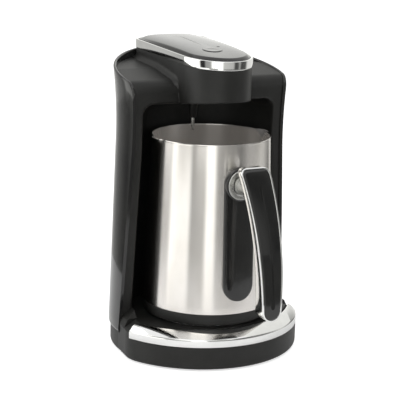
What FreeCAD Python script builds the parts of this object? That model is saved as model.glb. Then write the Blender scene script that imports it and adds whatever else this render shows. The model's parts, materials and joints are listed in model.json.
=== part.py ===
"""Electric Turkish coffee maker with a pot that slides out of its bay, millimetres.

The machine is laid out about the centre of its round base, on the ground, with the front
towards -Y, the user's right at +X and +Z up. Each piece is moved at the end so that the
origin is the bottom centre of the whole machine's box.
"""
import FreeCAD
import Part
import os
from math import cos, pi, radians, sin, sqrt

V = FreeCAD.Vector
UP = V(0, 0, 1)
ACROSS = V(1, 0, 0)
DEPTH = V(0, 1, 0)

# Pot, which the rest of the machine is laid out around
pot_axis = -15.0
pot_foot_radius = 47.3
pot_taper = 3.9
pot_rim_radius = pot_foot_radius - pot_taper
pot_rim = 161.0
pot_steel_bottom = 38.0
pot_wall = 1.0
pot_floor = 1.5
pot_cap_step = 1.1
pot_cap_radius = pot_foot_radius - pot_cap_step
pot_cap_wall = 1.3
pot_cap_inner = pot_cap_radius - pot_cap_wall
pot_lip_reach = 3.4
pot_lip_drop = 11.0
pot_lip_radius = 9.0
pot_lip_wall = 1.4
heat_disc_margin = 8.9
heat_disc_radius = pot_cap_inner - heat_disc_margin
heat_disc_low = 29.5
heat_disc_thickness = 3.5
slide_gap = 0.3

# Casing and the bay that the pot stands in
bay_clearance = 5.7
bay_top_radius = pot_foot_radius + bay_clearance
bay_taper = 5.4
bay_foot_radius = bay_top_radius + bay_taper
bay_headroom = 23.0
bay_ceiling = pot_rim + bay_headroom
bay_corner_round = 8.0
bay_edge_round = 2.4
bay_wall = 2.0
shell_foot = 9.0
shell_bottom = 16.0
shell_wall = 2.4
shell_foot_centre = -6.0
waist_margin = 10.3
waist_radius = bay_top_radius + waist_margin
waist_drop = 34.0
waist_height = bay_ceiling - waist_drop
shell_taper = 6.0
shell_foot_radius = waist_radius + shell_taper
rim_above = 32.0
rim_height = bay_ceiling + rim_above
rim_spread = 3.2
rim_radius = waist_radius + rim_spread
rim_flare = 2.4
front_lean_top = -13.67
front_lean_bottom = -8.4
shoulder_rise = 19.2
shoulder_height = bay_ceiling + shoulder_rise
shoulder_slope = 0.2
trough_lift = 1.4
trough_height = shoulder_height + trough_lift
trough_slope = 0.08
front_top_round = 10.0
casing_wall = 2.4
casing_inset = 0.8
foot_cove = 10.0
foot_lip = 0.8
foot_slope_rise = 6.5
foot_slope_width = 9.0
window_half = 13.0
window_sill = 7.0
window_low = bay_ceiling + window_sill
window_back = 6.0
seam_gap = 0.2

# Base
base_step = 5.7
base_radius = shell_foot_radius + base_step
base_rear_step = 1.7
base_rear_radius = shell_foot_radius - base_rear_step
base_rear_y = shell_foot_centre + base_rear_radius
base_top = 28.0
base_wall = 4.6
base_edge_round = 3.2
base_bottom = 1.2
base_front_end = -27.5
base_corner_round = 20.0
foot_radius = 6.5
foot_pitch_x = 80.0
foot_edge = 3.0
bottom_plate = 2.2
cover_top = base_bottom + bottom_plate
cover_screw_length = 11.0
base_boss_radius = 4.0
base_boss_edge = 21.0
base_boss_x = base_radius - base_boss_edge
base_boss_front_y = -24.0
base_boss_rear_y = 14.0
deck_thickness = 3.5
deck_bevel_width = 15.0
deck_bevel_start = base_radius - deck_bevel_width
deck_bevel_slope = 0.6
foot_bevel_slope = 2.0
tray_screw_length = 4.0
gland_radius = 5.0
gland_height = 10.6
gland_wall = 1.6
gland_flange = 1.6
terminal_gap = 0.3
terminal_half_depth = 5.0
terminal_half_width = 12.0
terminal_thickness = 9.0
terminal_pitch = 8.0
terminal_bore = 1.4
terminal_y = base_rear_y - 2 * base_wall - gland_wall - terminal_gap - terminal_half_depth

# Chrome crescent round the front of the base
ring_bottom = 18.0
ring_edge = 24.0
ring_spread = 1.0
ring_inner_radius = base_radius + ring_spread
ring_inner_centre = 14.0
ring_wall = 1.5

# Hotplate
plate_margin = 4.0
plate_radius = heat_disc_radius + plate_margin
plate_thickness = 4.0
plate_rise = 1.2
plate_gasket = 1.4
element_edge = 13.0
element_radius = plate_radius - element_edge
element_tube = 3.2

# Head
head_front_half = 25.7
head_rear_half = 29.4
head_nose = -48.0
head_nose_length = 31.0
head_rear_step = 2.5
head_rear = rim_radius - head_rear_step
head_rear_bow = 6.0
head_corner_y = head_rear - head_rear_bow
underside_rise = 4.5
head_wall = 2.4
head_depth = 36.3
head_top = bay_ceiling + head_depth
head_slope = 0.05
band_height = 6.6
band_wall = 1.8
band_proud = 0.5
crown_across = 130.0
crown_along = 900.0
crown_rise = 3.2
top_thickness = 2.4
carrier_thickness = 2.4
floor_thickness = 2.0

# Start button
button_y = -17.0
button_x = -2.0
button_radius = 7.0
button_gap = 0.25
button_travel = 0.8
button_rise = 0.5
stem_low = -9.4
sleeve_low = -9.0
sleeve_floor = -7.0
stem_radius = 2.4
stem_clearance = 0.05
spring_wire = 0.5
spring_radius = 3.9
spring_turns = 4
light_radius = 1.0
light_x = 8.5
light_y = -6.0
led_height = 2.0

# Probe that hangs over the pot
probe_x = -10.2
probe_y = -5.0
probe_radius = 1.2
probe_above_rim = 1.6
probe_boss_radius = 3.0
probe_boss_top_radius = 3.6
probe_boss_tip_radius = 2.4
probe_boss_length = 12.0

# Handle
handle_bottom = 47.0
handle_below_rim = 12.0
handle_top = pot_rim - handle_below_rim
handle_standoff = 50.0
handle_reach = pot_axis - pot_foot_radius - handle_standoff
handle_curve = 155.0
handle_curve_rise = 8.0
handle_curve_height = handle_bottom + handle_curve_rise
handle_thickness = 11.5
handle_inner_curve = 130.0
handle_inner_rise = 23.0
handle_inner_height = handle_bottom + handle_inner_rise
handle_top_half = 11.4
handle_bottom_half = 7.4
handle_corner_round = 4.5
insert_rim = 1.1
insert_depth = 2.2
insert_proud = 0.5
neck_below_rim = 28.0
neck_height = pot_rim - neck_below_rim
neck_radius = 6.6
strip_half = 12.0
strip_bottom = 48.0
strip_thickness = 3.0
collar_depth = 1.2
collar_ring_depth = 0.8
collar_ring_radius = 10.6
handle_screw_radius = 2.0
handle_screw_head = 4.0
screw_seat = 0.8
stud_length = 8.0

# Electronics
board_thickness = 1.6
control_board_x = 34.0
control_board_y = 36.0
control_board_drop = 13.0
power_board_x = 50.0
power_board_z = 78.0
power_board_bottom = 62.0
power_board_gap = 0.1
power_board_y = pot_axis + bay_foot_radius + bay_wall + power_board_gap
power_screw_length = 8.0
standoff_edge = 4.0
standoff_radius = 3.0
standoff_length = 15.5
relay_x = -9.0
relay_z = 90.0
relay_width = 13.0
relay_height = 20.0
relay_depth = 10.0
transformer_x = 8.0
transformer_z = 100.0
core_width = 16.0
core_height = 20.0
core_depth = 5.0
coil_width = 12.0
coil_depth = 9.5
capacitor_x = -10.0
capacitor_z = 116.0
capacitor_radius = 4.5
capacitor_depth = 10.0
plug_z = 132.0
plug_width = 14.0
plug_height = 8.0
plug_depth = 6.0
wire_radius = 1.5
wire_bend = 6.0
feed_radius = 1.0
wire_shaft_half = 20.0
wire_shaft_wall = 3.0
wire_shaft_rear = base_rear_y - base_wall - wire_shaft_wall
wire_shaft_depth = 9.0
harness_rise = 11.0
harness_top = bay_ceiling + harness_rise
harness_front = -8.0
boss_radius = 2.8
boss_edge = 3.4
control_board_centre_y = -16.0
board_screw_length = 6.0
buzzer_x = -5.0
buzzer_y = -23.0
buzzer_radius = 5.0
buzzer_depth = 5.0
screw_radius = 1.5
screw_head_radius = 2.8
screw_head_height = 1.8

to_origin = V(0, -(handle_reach - insert_proud + rim_radius) / 2, 0)


def save(name, shape):
    """Write one piece, moved to the machine's own origin."""
    placed = shape.copy()
    placed.translate(to_origin)
    placed.exportStep("parts/" + name + ".step")


def cylinder(radius, height, at, axis=UP):
    return Part.makeCylinder(radius, height, at, axis)


def box(low, high):
    size = high - low
    return Part.makeBox(size.x, size.y, size.z, low)


def tube(outer, inner, height, at, axis=UP):
    return cylinder(outer, height, at, axis).cut(cylinder(inner, height, at, axis))


def circle_wire(radius, centre):
    return Part.Wire(Part.makeCircle(radius, centre, UP))


def polygon(points):
    return Part.makePolygon(points + points[:1])


def prism(points, direction):
    return Part.Face(polygon(points)).extrude(direction)


def turned(profile, centre_y):
    """Solid of revolution about the upright axis at centre_y from (radius, height) points."""
    points = [V(r, centre_y, z) for r, z in profile]
    return Part.Face(polygon(points)).revolve(V(0, centre_y, 0), UP, 360)


def fuse(shapes):
    return shapes[0].fuse(shapes[1:]).removeSplitter()


def group(shapes):
    return Part.makeCompound(shapes)


# Outer form of the casing

def shell_circle(height):
    """Centre and radius of the casing's plan circle at a height."""
    if height <= waist_height:
        share = (height - shell_foot) / (waist_height - shell_foot)
        centre = shell_foot_centre * (1 - share)
        return centre, shell_foot_radius + (waist_radius - shell_foot_radius) * share
    share = (height - waist_height) / (rim_height - waist_height)
    bow = rim_radius - waist_radius + rim_flare
    return 0.0, waist_radius - rim_flare * share + bow * share * share


def casing_loft(inset, heights, straight):
    wires = []
    for height in heights:
        centre, radius = shell_circle(height)
        wires.append(circle_wire(radius - inset, V(0, centre, height)))
    return Part.makeLoft(wires, True, straight)


def casing_form(inset, low, high):
    """Closed form of the casing, drawn in by inset, between two heights."""
    bits = []
    if low < waist_height:
        bits.append(casing_loft(inset, [low, min(high, waist_height)], True))
    if high > waist_height:
        reach = 2 * base_radius
        quarter = (rim_height - waist_height) / 4
        upper = casing_loft(inset, [waist_height + quarter * step for step in range(6)], False)
        bits.append(upper.common(box(V(-reach, -reach, waist_height), V(reach, reach, high))))
    return bits[0] if len(bits) == 1 else fuse(bits)


def front_plane(height):
    """Depth of the casing's front face at a height."""
    lean = (front_lean_top - front_lean_bottom) / (bay_ceiling - shell_foot)
    return front_lean_bottom + lean * (height - shell_foot)


def side_profile(inset, low, reach=90.0):
    """Block behind the front face and under the shoulder, with its rounded front top edge."""
    top_y = front_plane(shoulder_height) + inset
    corner_z = shoulder_height + shoulder_slope * top_y - inset
    corner_y = front_plane(corner_z) + inset
    points = [
        V(-reach, front_plane(low) + inset, low),
        V(-reach, corner_y, corner_z),
        V(-reach, reach, corner_z + shoulder_slope * (reach - corner_y)),
        V(-reach, reach, low),
    ]
    block = prism(points, V(2 * reach, 0, 0))
    corner = V(0, corner_y, corner_z)
    edges = [e for e in block.Edges if (e.CenterOfMass - corner).Length < 0.01]
    return block.makeFillet(front_top_round - inset, edges)


def bay_form(extra, floor):
    """Round bay about the pot, made larger by extra."""
    top_r = bay_top_radius + extra
    top_z = bay_ceiling + extra
    corner = bay_corner_round + extra
    slope = bay_taper / (waist_height - base_top)
    foot_r = bay_top_radius + extra + slope * (waist_height - floor)
    start = V(top_r, pot_axis, top_z - corner)
    middle = V(top_r - corner * (1 - cos(pi / 4)), pot_axis, top_z - corner * (1 - sin(pi / 4)))
    end = V(top_r - corner, pot_axis, top_z)
    lines = [
        Part.makeLine(V(0, pot_axis, floor), V(foot_r, pot_axis, floor)),
        Part.makeLine(V(foot_r, pot_axis, floor), V(top_r, pot_axis, waist_height)),
        Part.makeLine(V(top_r, pot_axis, waist_height), start),
        Part.Arc(start, middle, end).toShape(),
        Part.makeLine(end, V(0, pot_axis, top_z)),
        Part.makeLine(V(0, pot_axis, top_z), V(0, pot_axis, floor)),
    ]
    return Part.Face(Part.Wire(lines)).revolve(V(0, pot_axis, 0), UP, 360)


def base_outline(inset, height):
    """Plan of the base: a wide front arc, two flanks and a rear arc inside the shell."""
    front = base_radius - inset
    rear = base_rear_radius - inset
    reach = sqrt(front ** 2 - base_front_end ** 2)
    middle = shell_foot_centre
    bits = [
        Part.Arc(V(-reach, base_front_end, height), V(0, -front, height),
                 V(reach, base_front_end, height)).toShape(),
        Part.makeLine(V(reach, base_front_end, height), V(rear, middle, height)),
        Part.Arc(V(rear, middle, height), V(0, middle + rear, height),
                 V(-rear, middle, height)).toShape(),
        Part.makeLine(V(-rear, middle, height), V(-reach, base_front_end, height)),
    ]
    return Part.Wire(bits)


def base_block(inset, low, high):
    """Base between two heights, with the corners between front arc and flanks rounded."""
    body = Part.Face(base_outline(inset, low)).extrude(V(0, 0, high - low))
    upright = [e for e in body.Edges if e.BoundBox.ZLength > (high - low) / 2
               and abs(e.BoundBox.YMin - base_front_end) < 0.01]
    return body.makeFillet(base_corner_round, upright)


def ring_cone(radius, low, edge, top):
    """Upright band with the leaning cone of the crescent's top above it."""
    drop = radius - base_radius
    band = cylinder(radius, edge - low, V(0, 0, low))
    cone = Part.makeLoft([circle_wire(radius, V(0, 0, edge)),
                          circle_wire(ring_inner_radius + drop, V(0, ring_inner_centre, top))], True, True)
    return band.fuse(cone).removeSplitter()


# Base pieces

def front_half():
    return box(V(-2 * base_radius, -2 * base_radius, 0), V(2 * base_radius, base_front_end, 4 * base_top))


def chrome_ring():
    outer = ring_cone(base_radius, ring_bottom, ring_edge, base_top)
    inner = ring_cone(base_radius - ring_wall, ring_bottom - 1, ring_edge - ring_wall,
                      base_top - ring_wall)
    middle = cylinder(ring_inner_radius - ring_wall, 2 * base_top, V(0, ring_inner_centre, 0))
    return outer.cut(inner).cut(middle).common(front_half())


def base_boss_places():
    return [(x, y) for x in (-base_boss_x, base_boss_x) for y in (base_boss_front_y, base_boss_rear_y)]


def foot_places():
    """Feet just inside the base's wall, under its front arc and under its rear arc."""
    half = foot_pitch_x / 2
    inset = base_wall + foot_radius + foot_edge
    front = -sqrt((base_radius - inset) ** 2 - half ** 2)
    rear = shell_foot_centre + sqrt((base_rear_radius - inset) ** 2 - half ** 2)
    return [(x, y) for x in (-half, half) for y in (front, rear)]


def inside_shell(clearance, low):
    """Space that the side shell and what is outside it take up, behind the front face."""
    block = side_profile(-clearance, low - clearance)
    room = casing_form(shell_wall + clearance, low - 2 * clearance, 3 * base_top)
    return block.cut(room)


def base_hollow(extra, low, high):
    """Space inside the base's wall, drawn in by extra."""
    inset = base_wall + extra
    return base_block(inset, low, high).common(casing_form(shell_wall + seam_gap + inset, low, high)
                                               .fuse(front_half()).fuse(base_middle(inset)))


def base_middle(inset):
    """Strip between the crescent's ends and the casing's front face."""
    half = sqrt(base_radius ** 2 - base_front_end ** 2) - inset
    return box(V(-half, base_front_end - 1, 0), V(half, shell_foot_centre - inset / 4, 4 * base_top))


def foot_flank():
    """Half width of the casing's coved foot."""
    return shell_circle(base_top)[1] - shell_wall - 2 * seam_gap


def deck_bevels():
    """Wedges off the deck's flanks: shallow before the casing's foot, steep beside it."""
    start = base_front_end + seam_gap
    middle = front_plane(base_top) + casing_inset - foot_cove - seam_gap
    end = front_plane(base_top)
    wedges = []
    for flank, slope, near, far in ((deck_bevel_start, deck_bevel_slope, start, middle),
                                    (foot_flank() + seam_gap, foot_bevel_slope, middle, end)):
        reach = 2 * base_radius - flank
        corner = V(flank, near, base_top)
        wedge = prism([corner, corner + V(reach, 0, 0), corner + V(reach, 0, -slope * reach)],
                      V(0, far - near, 0))
        wedges += [wedge, wedge.mirror(V(0, 0, 0), ACROSS)]
    return wedges


def base_housing():
    """Skirt and deck of the base, open below, with the seat of the chrome crescent."""
    gap = ring_wall + seam_gap
    body = base_block(0, base_bottom, base_top)
    bottom_edges = [e for e in body.Edges if e.BoundBox.ZMax < base_bottom + 0.01]
    body = body.makeFillet(base_edge_round, bottom_edges)
    for wedge in deck_bevels():
        body = body.cut(wedge)
    seat = ring_cone(base_radius - gap, ring_bottom, ring_edge - gap, base_top - gap)
    middle = cylinder(ring_inner_radius - gap, 2 * base_top, V(0, ring_inner_centre, 0))
    above = box(V(-2 * base_radius, -2 * base_radius, ring_bottom),
                V(2 * base_radius, base_front_end + seam_gap, 2 * base_top))
    body = body.cut(above.cut(seat).cut(middle))
    body = body.cut(inside_shell(seam_gap, shell_bottom))
    body = body.cut(base_hollow(0, 0, ring_bottom - base_wall))
    body = body.cut(base_hollow(gap, 0, base_top - deck_thickness))
    posts = [cylinder(base_boss_radius, base_top - deck_thickness / 2 - cover_top, V(x, y, cover_top))
             for x, y in base_boss_places()]
    body = fuse([body] + posts)
    pilots = [cylinder(screw_radius, 12, V(x, y, cover_top)) for x, y in base_boss_places()]
    pilots += [cylinder(screw_radius, tray_screw_length - 1, V(x, y, base_top - deck_thickness))
               for x, y in tray_places()]
    body = body.cut(group(pilots))
    body = body.cut(cylinder(plate_radius + plate_gasket, base_top, V(0, pot_axis, base_top / 2)))
    shaft = box(V(-wire_shaft_half, wire_shaft_rear - wire_shaft_depth, base_top / 2),
                V(wire_shaft_half, wire_shaft_rear, 2 * base_top))
    gland_hole = cylinder(gland_radius + 0.1, 30, V(0, base_rear_y - 20, gland_height), DEPTH)
    return body.cut(shaft).cut(gland_hole)


def bottom_cover():
    """Plate that closes the base, with the feet's holes and countersinks for its screws."""
    plate = base_hollow(seam_gap, base_bottom, cover_top)
    holes = [cylinder(screw_radius + 0.2, 10, V(x, y, 0)) for x, y in base_boss_places()]
    sinks = [cylinder(screw_head_radius + 0.2, screw_head_height, V(x, y, 0))
             for x, y in base_boss_places()]
    holes += [cylinder(foot_radius / 2, 10, V(x, y, 0)) for x, y in foot_places()]
    vents = [box(V(x - 1, -30, 0), V(x + 1, -2, 10)) for x in range(-20, 21, 8)]
    return plate.cut(group(holes + sinks + vents))


def rubber_feet():
    feet = []
    for x, y in foot_places():
        pad = cylinder(foot_radius, base_bottom, V(x, y, 0))
        plug = cylinder(foot_radius / 2, bottom_plate + 0.6, V(x, y, base_bottom))
        feet.append(pad.fuse(plug).removeSplitter())
    return group(feet)


def screw(length, at, axis):
    """Pan head screw: at is the point under its head and axis the way its shank goes."""
    shank = cylinder(screw_radius, length, at, axis)
    head = cylinder(screw_head_radius, screw_head_height, at - axis * screw_head_height, axis)
    slot = box(V(-0.4, -4, -0.6), V(0.4, 4, 0.6))
    slot.Placement = FreeCAD.Placement(at - axis * screw_head_height, FreeCAD.Rotation(UP, axis))
    return shank.fuse(head).removeSplitter().cut(slot)


def cover_screws():
    return group([screw(cover_screw_length, V(x, y, screw_head_height), UP)
                  for x, y in base_boss_places()])


def cord_gland():
    """Bush in the rear wall of the base where the mains cord goes in."""
    start = base_rear_y - 2 * base_wall
    length = 2 * base_wall
    bush = tube(gland_radius, gland_radius - gland_wall, length, V(0, start, gland_height), DEPTH)
    lip = tube(gland_radius + gland_flange, gland_radius - gland_wall, gland_wall,
               V(0, start - gland_wall, gland_height), DEPTH)
    return bush.fuse(lip).removeSplitter()


# Casing pieces

def side_shell():
    """Glossy wall that wraps the sides and the back, with a rounded top front corner."""
    outer = casing_form(0, shell_bottom, rim_height)
    inner = casing_form(shell_wall, shell_bottom - 1, rim_height + 1)
    wall = outer.cut(inner).common(side_profile(0, shell_bottom))
    return wall.cut(head_block(-seam_gap, bay_ceiling, head_top + band_height))


def casing_solid():
    """Filled form of the front casing, inside the side shell."""
    room = casing_form(shell_wall + seam_gap, base_top, rim_height)
    return room.common(side_profile(casing_inset, base_top)).common(below_trough(0))


def below_trough(inset):
    """Everything under the shallow shoulder that lies inside the raised rim at the back."""
    reach = 2 * base_radius
    front = trough_height - trough_slope * reach - inset
    back = trough_height + trough_slope * reach - inset
    points = [V(-reach, -reach, 0), V(-reach, reach, 0), V(-reach, reach, back), V(-reach, -reach, front)]
    return prism(points, V(2 * reach, 0, 0))


def casing_foot():
    """Coved foot that carries the front face forward onto the deck of the base."""
    back = front_plane(base_top) + casing_inset
    front = back - foot_cove
    top = base_top + foot_cove
    rise = foot_cove * (1 - sin(pi / 4)) + foot_lip / 2
    middle = V(0, front + foot_cove * (1 - cos(pi / 4)), base_top + rise)
    curve = Part.Arc(V(0, front, base_top + foot_lip), middle, V(0, back, top)).toShape()
    lines = [
        Part.makeLine(V(0, back + casing_wall, base_top), V(0, front, base_top)),
        Part.makeLine(V(0, front, base_top), V(0, front, base_top + foot_lip)),
        curve,
        Part.makeLine(V(0, back, top), V(0, back + casing_wall, top)),
        Part.makeLine(V(0, back + casing_wall, top), V(0, back + casing_wall, base_top)),
    ]
    cove = Part.Face(Part.Wire(lines)).extrude(V(4 * base_radius, 0, 0))
    cove.translate(V(-2 * base_radius, 0, 0))
    flank = foot_flank()
    slope = foot_slope_rise / foot_slope_width
    reach = 2 * base_radius
    depth = V(0, 2 * reach, 0)
    for side in (-1, 1):
        outer = V(side * flank, -reach, base_top)
        inner = V(side * (flank - reach), -reach, base_top + slope * reach)
        above = prism([outer, inner, V(side * flank, -reach, base_top + slope * reach)], depth)
        cove = cove.cut(above)
    return cove.common(box(V(-flank, -base_radius, 0), V(flank, base_radius, rim_height)))


def standoff_places():
    reach = power_board_x / 2 - standoff_edge
    low = power_board_bottom + standoff_edge
    high = power_board_bottom + power_board_z - standoff_edge
    return [(x, z) for x in (-reach, reach) for z in (low, high)]


def bay_mouth(body):
    """Edges of the bay's opening in the front face, above the coved foot."""
    edges = []
    for edge in body.Edges:
        at = edge.valueAt((edge.FirstParameter + edge.LastParameter) / 2)
        in_face = abs(at.y - front_plane(at.z) - casing_inset) < seam_gap / 2
        reach = V(at.x, at.y - pot_axis, 0).Length
        if in_face and base_top + foot_cove < at.z < bay_ceiling + 0.1 and reach < bay_foot_radius:
            edges.append(edge)
    return edges


def front_casing():
    """Front face, shoulder and bay of one moulding, with the power board's standoffs."""
    solid = casing_solid()
    hollow = side_profile(casing_inset + casing_wall, base_top - 1).common(below_trough(casing_wall))
    skin = solid.cut(hollow)
    liner = bay_form(bay_wall, base_top).common(solid)
    posts = [cylinder(standoff_radius, standoff_length, V(x, power_board_y - standoff_length, z), DEPTH)
             for x, z in standoff_places()]
    body = fuse([skin, liner, casing_foot()] + posts)
    body = body.cut(bay_form(0, base_top - 1))
    window = box(V(-window_half, 2 * front_plane(bay_ceiling), window_low),
                 V(window_half, window_back, rim_height))
    pilots = [cylinder(screw_radius, 9, V(x, power_board_y - 9, z), DEPTH) for x, z in standoff_places()]
    hole = cylinder(probe_boss_radius + 0.1, 4 * bay_wall, V(probe_x, probe_y, bay_ceiling - bay_wall))
    body = body.makeFillet(bay_edge_round, bay_mouth(body))
    return body.cut(group([window] + pilots)).cut(hole)


# Head

def head_outline(inset, height):
    """Plan of the head: a half ellipse nose, widening flanks and a rear end bowed like the casing."""
    half = head_front_half - inset
    nose_centre = head_nose + head_nose_length
    rear_half = head_rear_half - inset
    rear = head_rear - inset
    corner_y = head_corner_y - inset
    ellipse = Part.Ellipse(V(0, head_nose + inset, height), V(half, nose_centre, height),
                           V(0, nose_centre, height))
    right = V(rear_half, corner_y, height)
    left = V(-rear_half, corner_y, height)
    bits = [
        Part.ArcOfEllipse(ellipse, -pi / 2, pi / 2).toShape(),
        Part.makeLine(V(half, nose_centre, height), right),
        Part.Arc(right, V(0, rear, height), left).toShape(),
        Part.makeLine(left, V(-half, nose_centre, height)),
    ]
    return Part.Wire(Part.__sortEdges__(bits))


def head_block(inset, low, high):
    return Part.Face(head_outline(inset, low)).extrude(V(0, 0, high - low))


def slab(low, high):
    """Sloping layer of the head between two offsets from the top edge of its band."""
    reach = 2 * base_radius
    front = head_top - head_slope * reach
    back = head_top + head_slope * reach
    points = [V(-reach, -reach, front + low), V(-reach, reach, back + low),
              V(-reach, reach, back + high), V(-reach, -reach, front + high)]
    return prism(points, V(2 * reach, 0, 0))


def layer(inset, low, high):
    """Part of the head's plan, drawn in by inset, between two sloping offsets."""
    return head_block(inset, bay_ceiling, head_top + 4 * band_height).common(slab(low, high))


def crown(lift=0.0):
    """Large round body whose upper side is the domed top."""
    middle = (head_nose + head_rear) / 2
    centre_y = middle + head_slope * crown_along
    top = head_top + head_slope * middle + crown_rise + head_slope ** 2 * crown_along / 2 + lift
    centre = V(0, centre_y, top - crown_along)
    return Part.makeTorus(crown_along - crown_across, crown_across, centre, ACROSS)


def head_housing():
    """Upright wall of the head, standing on the shoulder and hanging over the bay's front."""
    wall = head_block(0, bay_ceiling, head_top + band_height)
    wall = wall.cut(head_block(head_wall, bay_ceiling - 1, head_top + 2 * band_height))
    wall = wall.common(slab(-4 * rim_radius, -band_height))
    seat = side_profile(casing_inset, base_top).common(below_trough(0))
    return wall.cut(seat).cut(under_nose(0))


def under_nose(lift):
    """Space under the rising underside of the head's nose, raised by lift."""
    back = front_plane(bay_ceiling) + casing_inset
    points = [V(-base_radius, back, bay_ceiling - 1), V(-base_radius, back, bay_ceiling + lift),
              V(-base_radius, head_nose, bay_ceiling + underside_rise + lift),
              V(-base_radius, 2 * head_nose, bay_ceiling + 2 * underside_rise + lift),
              V(-base_radius, 2 * head_nose, bay_ceiling - 1)]
    return prism(points, V(2 * base_radius, 0, 0))


def head_floor():
    """Underside of the head in front of the casing, rising toward the nose."""
    plate = head_block(head_wall + seam_gap, bay_ceiling, bay_ceiling + 4 * floor_thickness)
    back = front_plane(bay_ceiling) + casing_inset - seam_gap
    front = box(V(-base_radius, -base_radius, 0), V(base_radius, back, rim_height))
    return plate.common(front).common(under_nose(floor_thickness)).cut(under_nose(0))


def chrome_band():
    ring = layer(-band_proud, -band_height, 0)
    return ring.cut(layer(band_wall - band_proud, -2 * band_height, band_height))


def plate_inset():
    return band_wall - band_proud + seam_gap


def button_cut(radius, low, high):
    """Upright cylinder at the start button, cut square to the sloping top."""
    post = cylinder(radius, 4 * band_height, V(button_x, button_y, head_top - 2 * band_height))
    return post.common(slab(low, high))


def top_plate():
    """Glossy domed plate with the button's and the light window's holes."""
    plate = layer(plate_inset(), -top_thickness, 2 * band_height).common(crown())
    plate = plate.cut(button_cut(button_radius + button_gap, -band_height, 2 * band_height))
    return plate.cut(cylinder(light_radius + seam_gap, rim_height, V(light_x, light_y, bay_ceiling)))


def carrier_low():
    return -top_thickness - carrier_thickness


def board_top():
    return head_top + head_slope * button_y - control_board_drop


def board_boss_places():
    reach = control_board_x / 2 - boss_edge
    middle = control_board_centre_y
    half = control_board_y / 2 - boss_edge
    return [(x, middle + y) for x in (-reach, reach) for y in (-half, half)]


def top_carrier():
    """Plate inside the band that holds the top plate, the button's sleeve and the board."""
    plate = layer(plate_inset(), carrier_low(), -top_thickness)
    sleeve = button_cut(spring_radius + carrier_thickness + 0.4, sleeve_low, -top_thickness)
    under_top = slab(-4 * band_height, -top_thickness)
    bosses = [cylinder(boss_radius, head_top - board_top(), V(x, y, board_top())).common(under_top)
              for x, y in board_boss_places()]
    body = fuse([plate, sleeve] + bosses)
    body = body.cut(button_cut(spring_radius + spring_wire + 0.2, sleeve_floor, band_height))
    body = body.cut(button_cut(stem_radius + stem_clearance, -4 * band_height, band_height))
    pilots = [cylinder(screw_radius, 6, V(x, y, board_top())) for x, y in board_boss_places()]
    body = body.cut(group(pilots))
    return body.cut(cylinder(light_radius + 0.05, rim_height, V(light_x, light_y, bay_ceiling)))


def start_button():
    cap = button_cut(button_radius, -top_thickness + button_travel + seam_gap, 2 * band_height)
    cap = cap.common(crown(button_rise))
    stem = button_cut(stem_radius, stem_low, -top_thickness + button_travel + 2 * seam_gap)
    return cap.fuse(stem).removeSplitter()


def button_spring():
    """Return spring round the stem, between the sleeve's floor and the cap."""
    base = head_top + head_slope * button_y + sleeve_floor + spring_wire / 2
    room = -top_thickness + button_travel + seam_gap - sleeve_floor - spring_wire
    height = room - spring_wire
    helix = Part.makeHelix(height / spring_turns, height, spring_radius - spring_wire)
    section = Part.Wire(Part.makeCircle(spring_wire / 2, V(spring_radius - spring_wire, 0, 0), DEPTH))
    coil = Part.Wire(helix).makePipeShell([section], True, True)
    coil.translate(V(button_x, button_y, base + spring_wire / 2))
    return coil


def control_board():
    half_x = control_board_x / 2
    half_y = control_board_y / 2
    middle = control_board_centre_y
    board = box(V(-half_x, middle - half_y, board_top() - board_thickness),
                V(half_x, middle + half_y, board_top()))
    holes = [cylinder(screw_radius + 0.1, 10, V(x, y, board_top() - 5)) for x, y in board_boss_places()]
    return board.cut(group(holes))


def button_switch():
    """Small key switch on the board, right under the button's stem."""
    top = stem_low + head_top + head_slope * button_y - button_travel - seam_gap
    key = cylinder(1.6, 1.0, V(button_x, button_y, top - 1.0))
    body = box(V(button_x - 3, button_y - 3, board_top()), V(button_x + 3, button_y + 3, top - 0.6))
    return body.fuse(key).removeSplitter()


def light_pipe():
    """Clear pin that carries the pilot light up to the top plate."""
    pin = cylinder(light_radius, rim_height, V(light_x, light_y, board_top() + led_height))
    return pin.common(crown()).common(head_block(0, bay_ceiling, head_top + 4 * band_height))


def pilot_led():
    low = V(light_x - 1.6, light_y - 1.6, board_top())
    return box(low, low + V(3.2, 3.2, led_height))


def board_screws():
    under = board_top() - board_thickness
    return group([screw(board_screw_length, V(x, y, under), UP) for x, y in board_boss_places()])


def buzzer():
    under = board_top() - board_thickness
    low = V(buzzer_x, buzzer_y, under - buzzer_depth)
    return cylinder(buzzer_radius, buzzer_depth, low).cut(cylinder(buzzer_radius / 5, 2.0, low))


# Probe

def probe_tip():
    return pot_rim + probe_above_rim


def probe_boss():
    """Tapered nozzle under the bay's ceiling that holds the sensing rod."""
    taper = Part.makeCone(probe_boss_tip_radius, probe_boss_top_radius, probe_boss_length,
                          V(probe_x, probe_y, bay_ceiling - probe_boss_length))
    neck = cylinder(probe_boss_radius, bay_wall, V(probe_x, probe_y, bay_ceiling))
    flange = cylinder(probe_boss_radius + 2, 1.6, V(probe_x, probe_y, bay_ceiling + bay_wall))
    body = fuse([taper, neck, flange])
    return body.cut(cylinder(probe_radius + 0.03, rim_height, V(probe_x, probe_y, pot_rim)))


def probe_rod():
    rod = cylinder(probe_radius, bay_ceiling + 6 - probe_tip() - probe_radius,
                   V(probe_x, probe_y, probe_tip() + probe_radius))
    ball = Part.makeSphere(probe_radius, V(probe_x, probe_y, probe_tip() + probe_radius))
    collar = cylinder(probe_radius + 1.2, 1.2, V(probe_x, probe_y, bay_ceiling + bay_wall + 1.6))
    return fuse([rod, ball, collar])


# Hotplate

def hotplate():
    top = base_top + plate_rise
    disc = cylinder(plate_radius, plate_thickness, V(0, pot_axis, top - plate_thickness))
    edges = [e for e in disc.Edges if e.BoundBox.ZMin > top - 0.01]
    return disc.makeFillet(0.8, edges)


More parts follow.
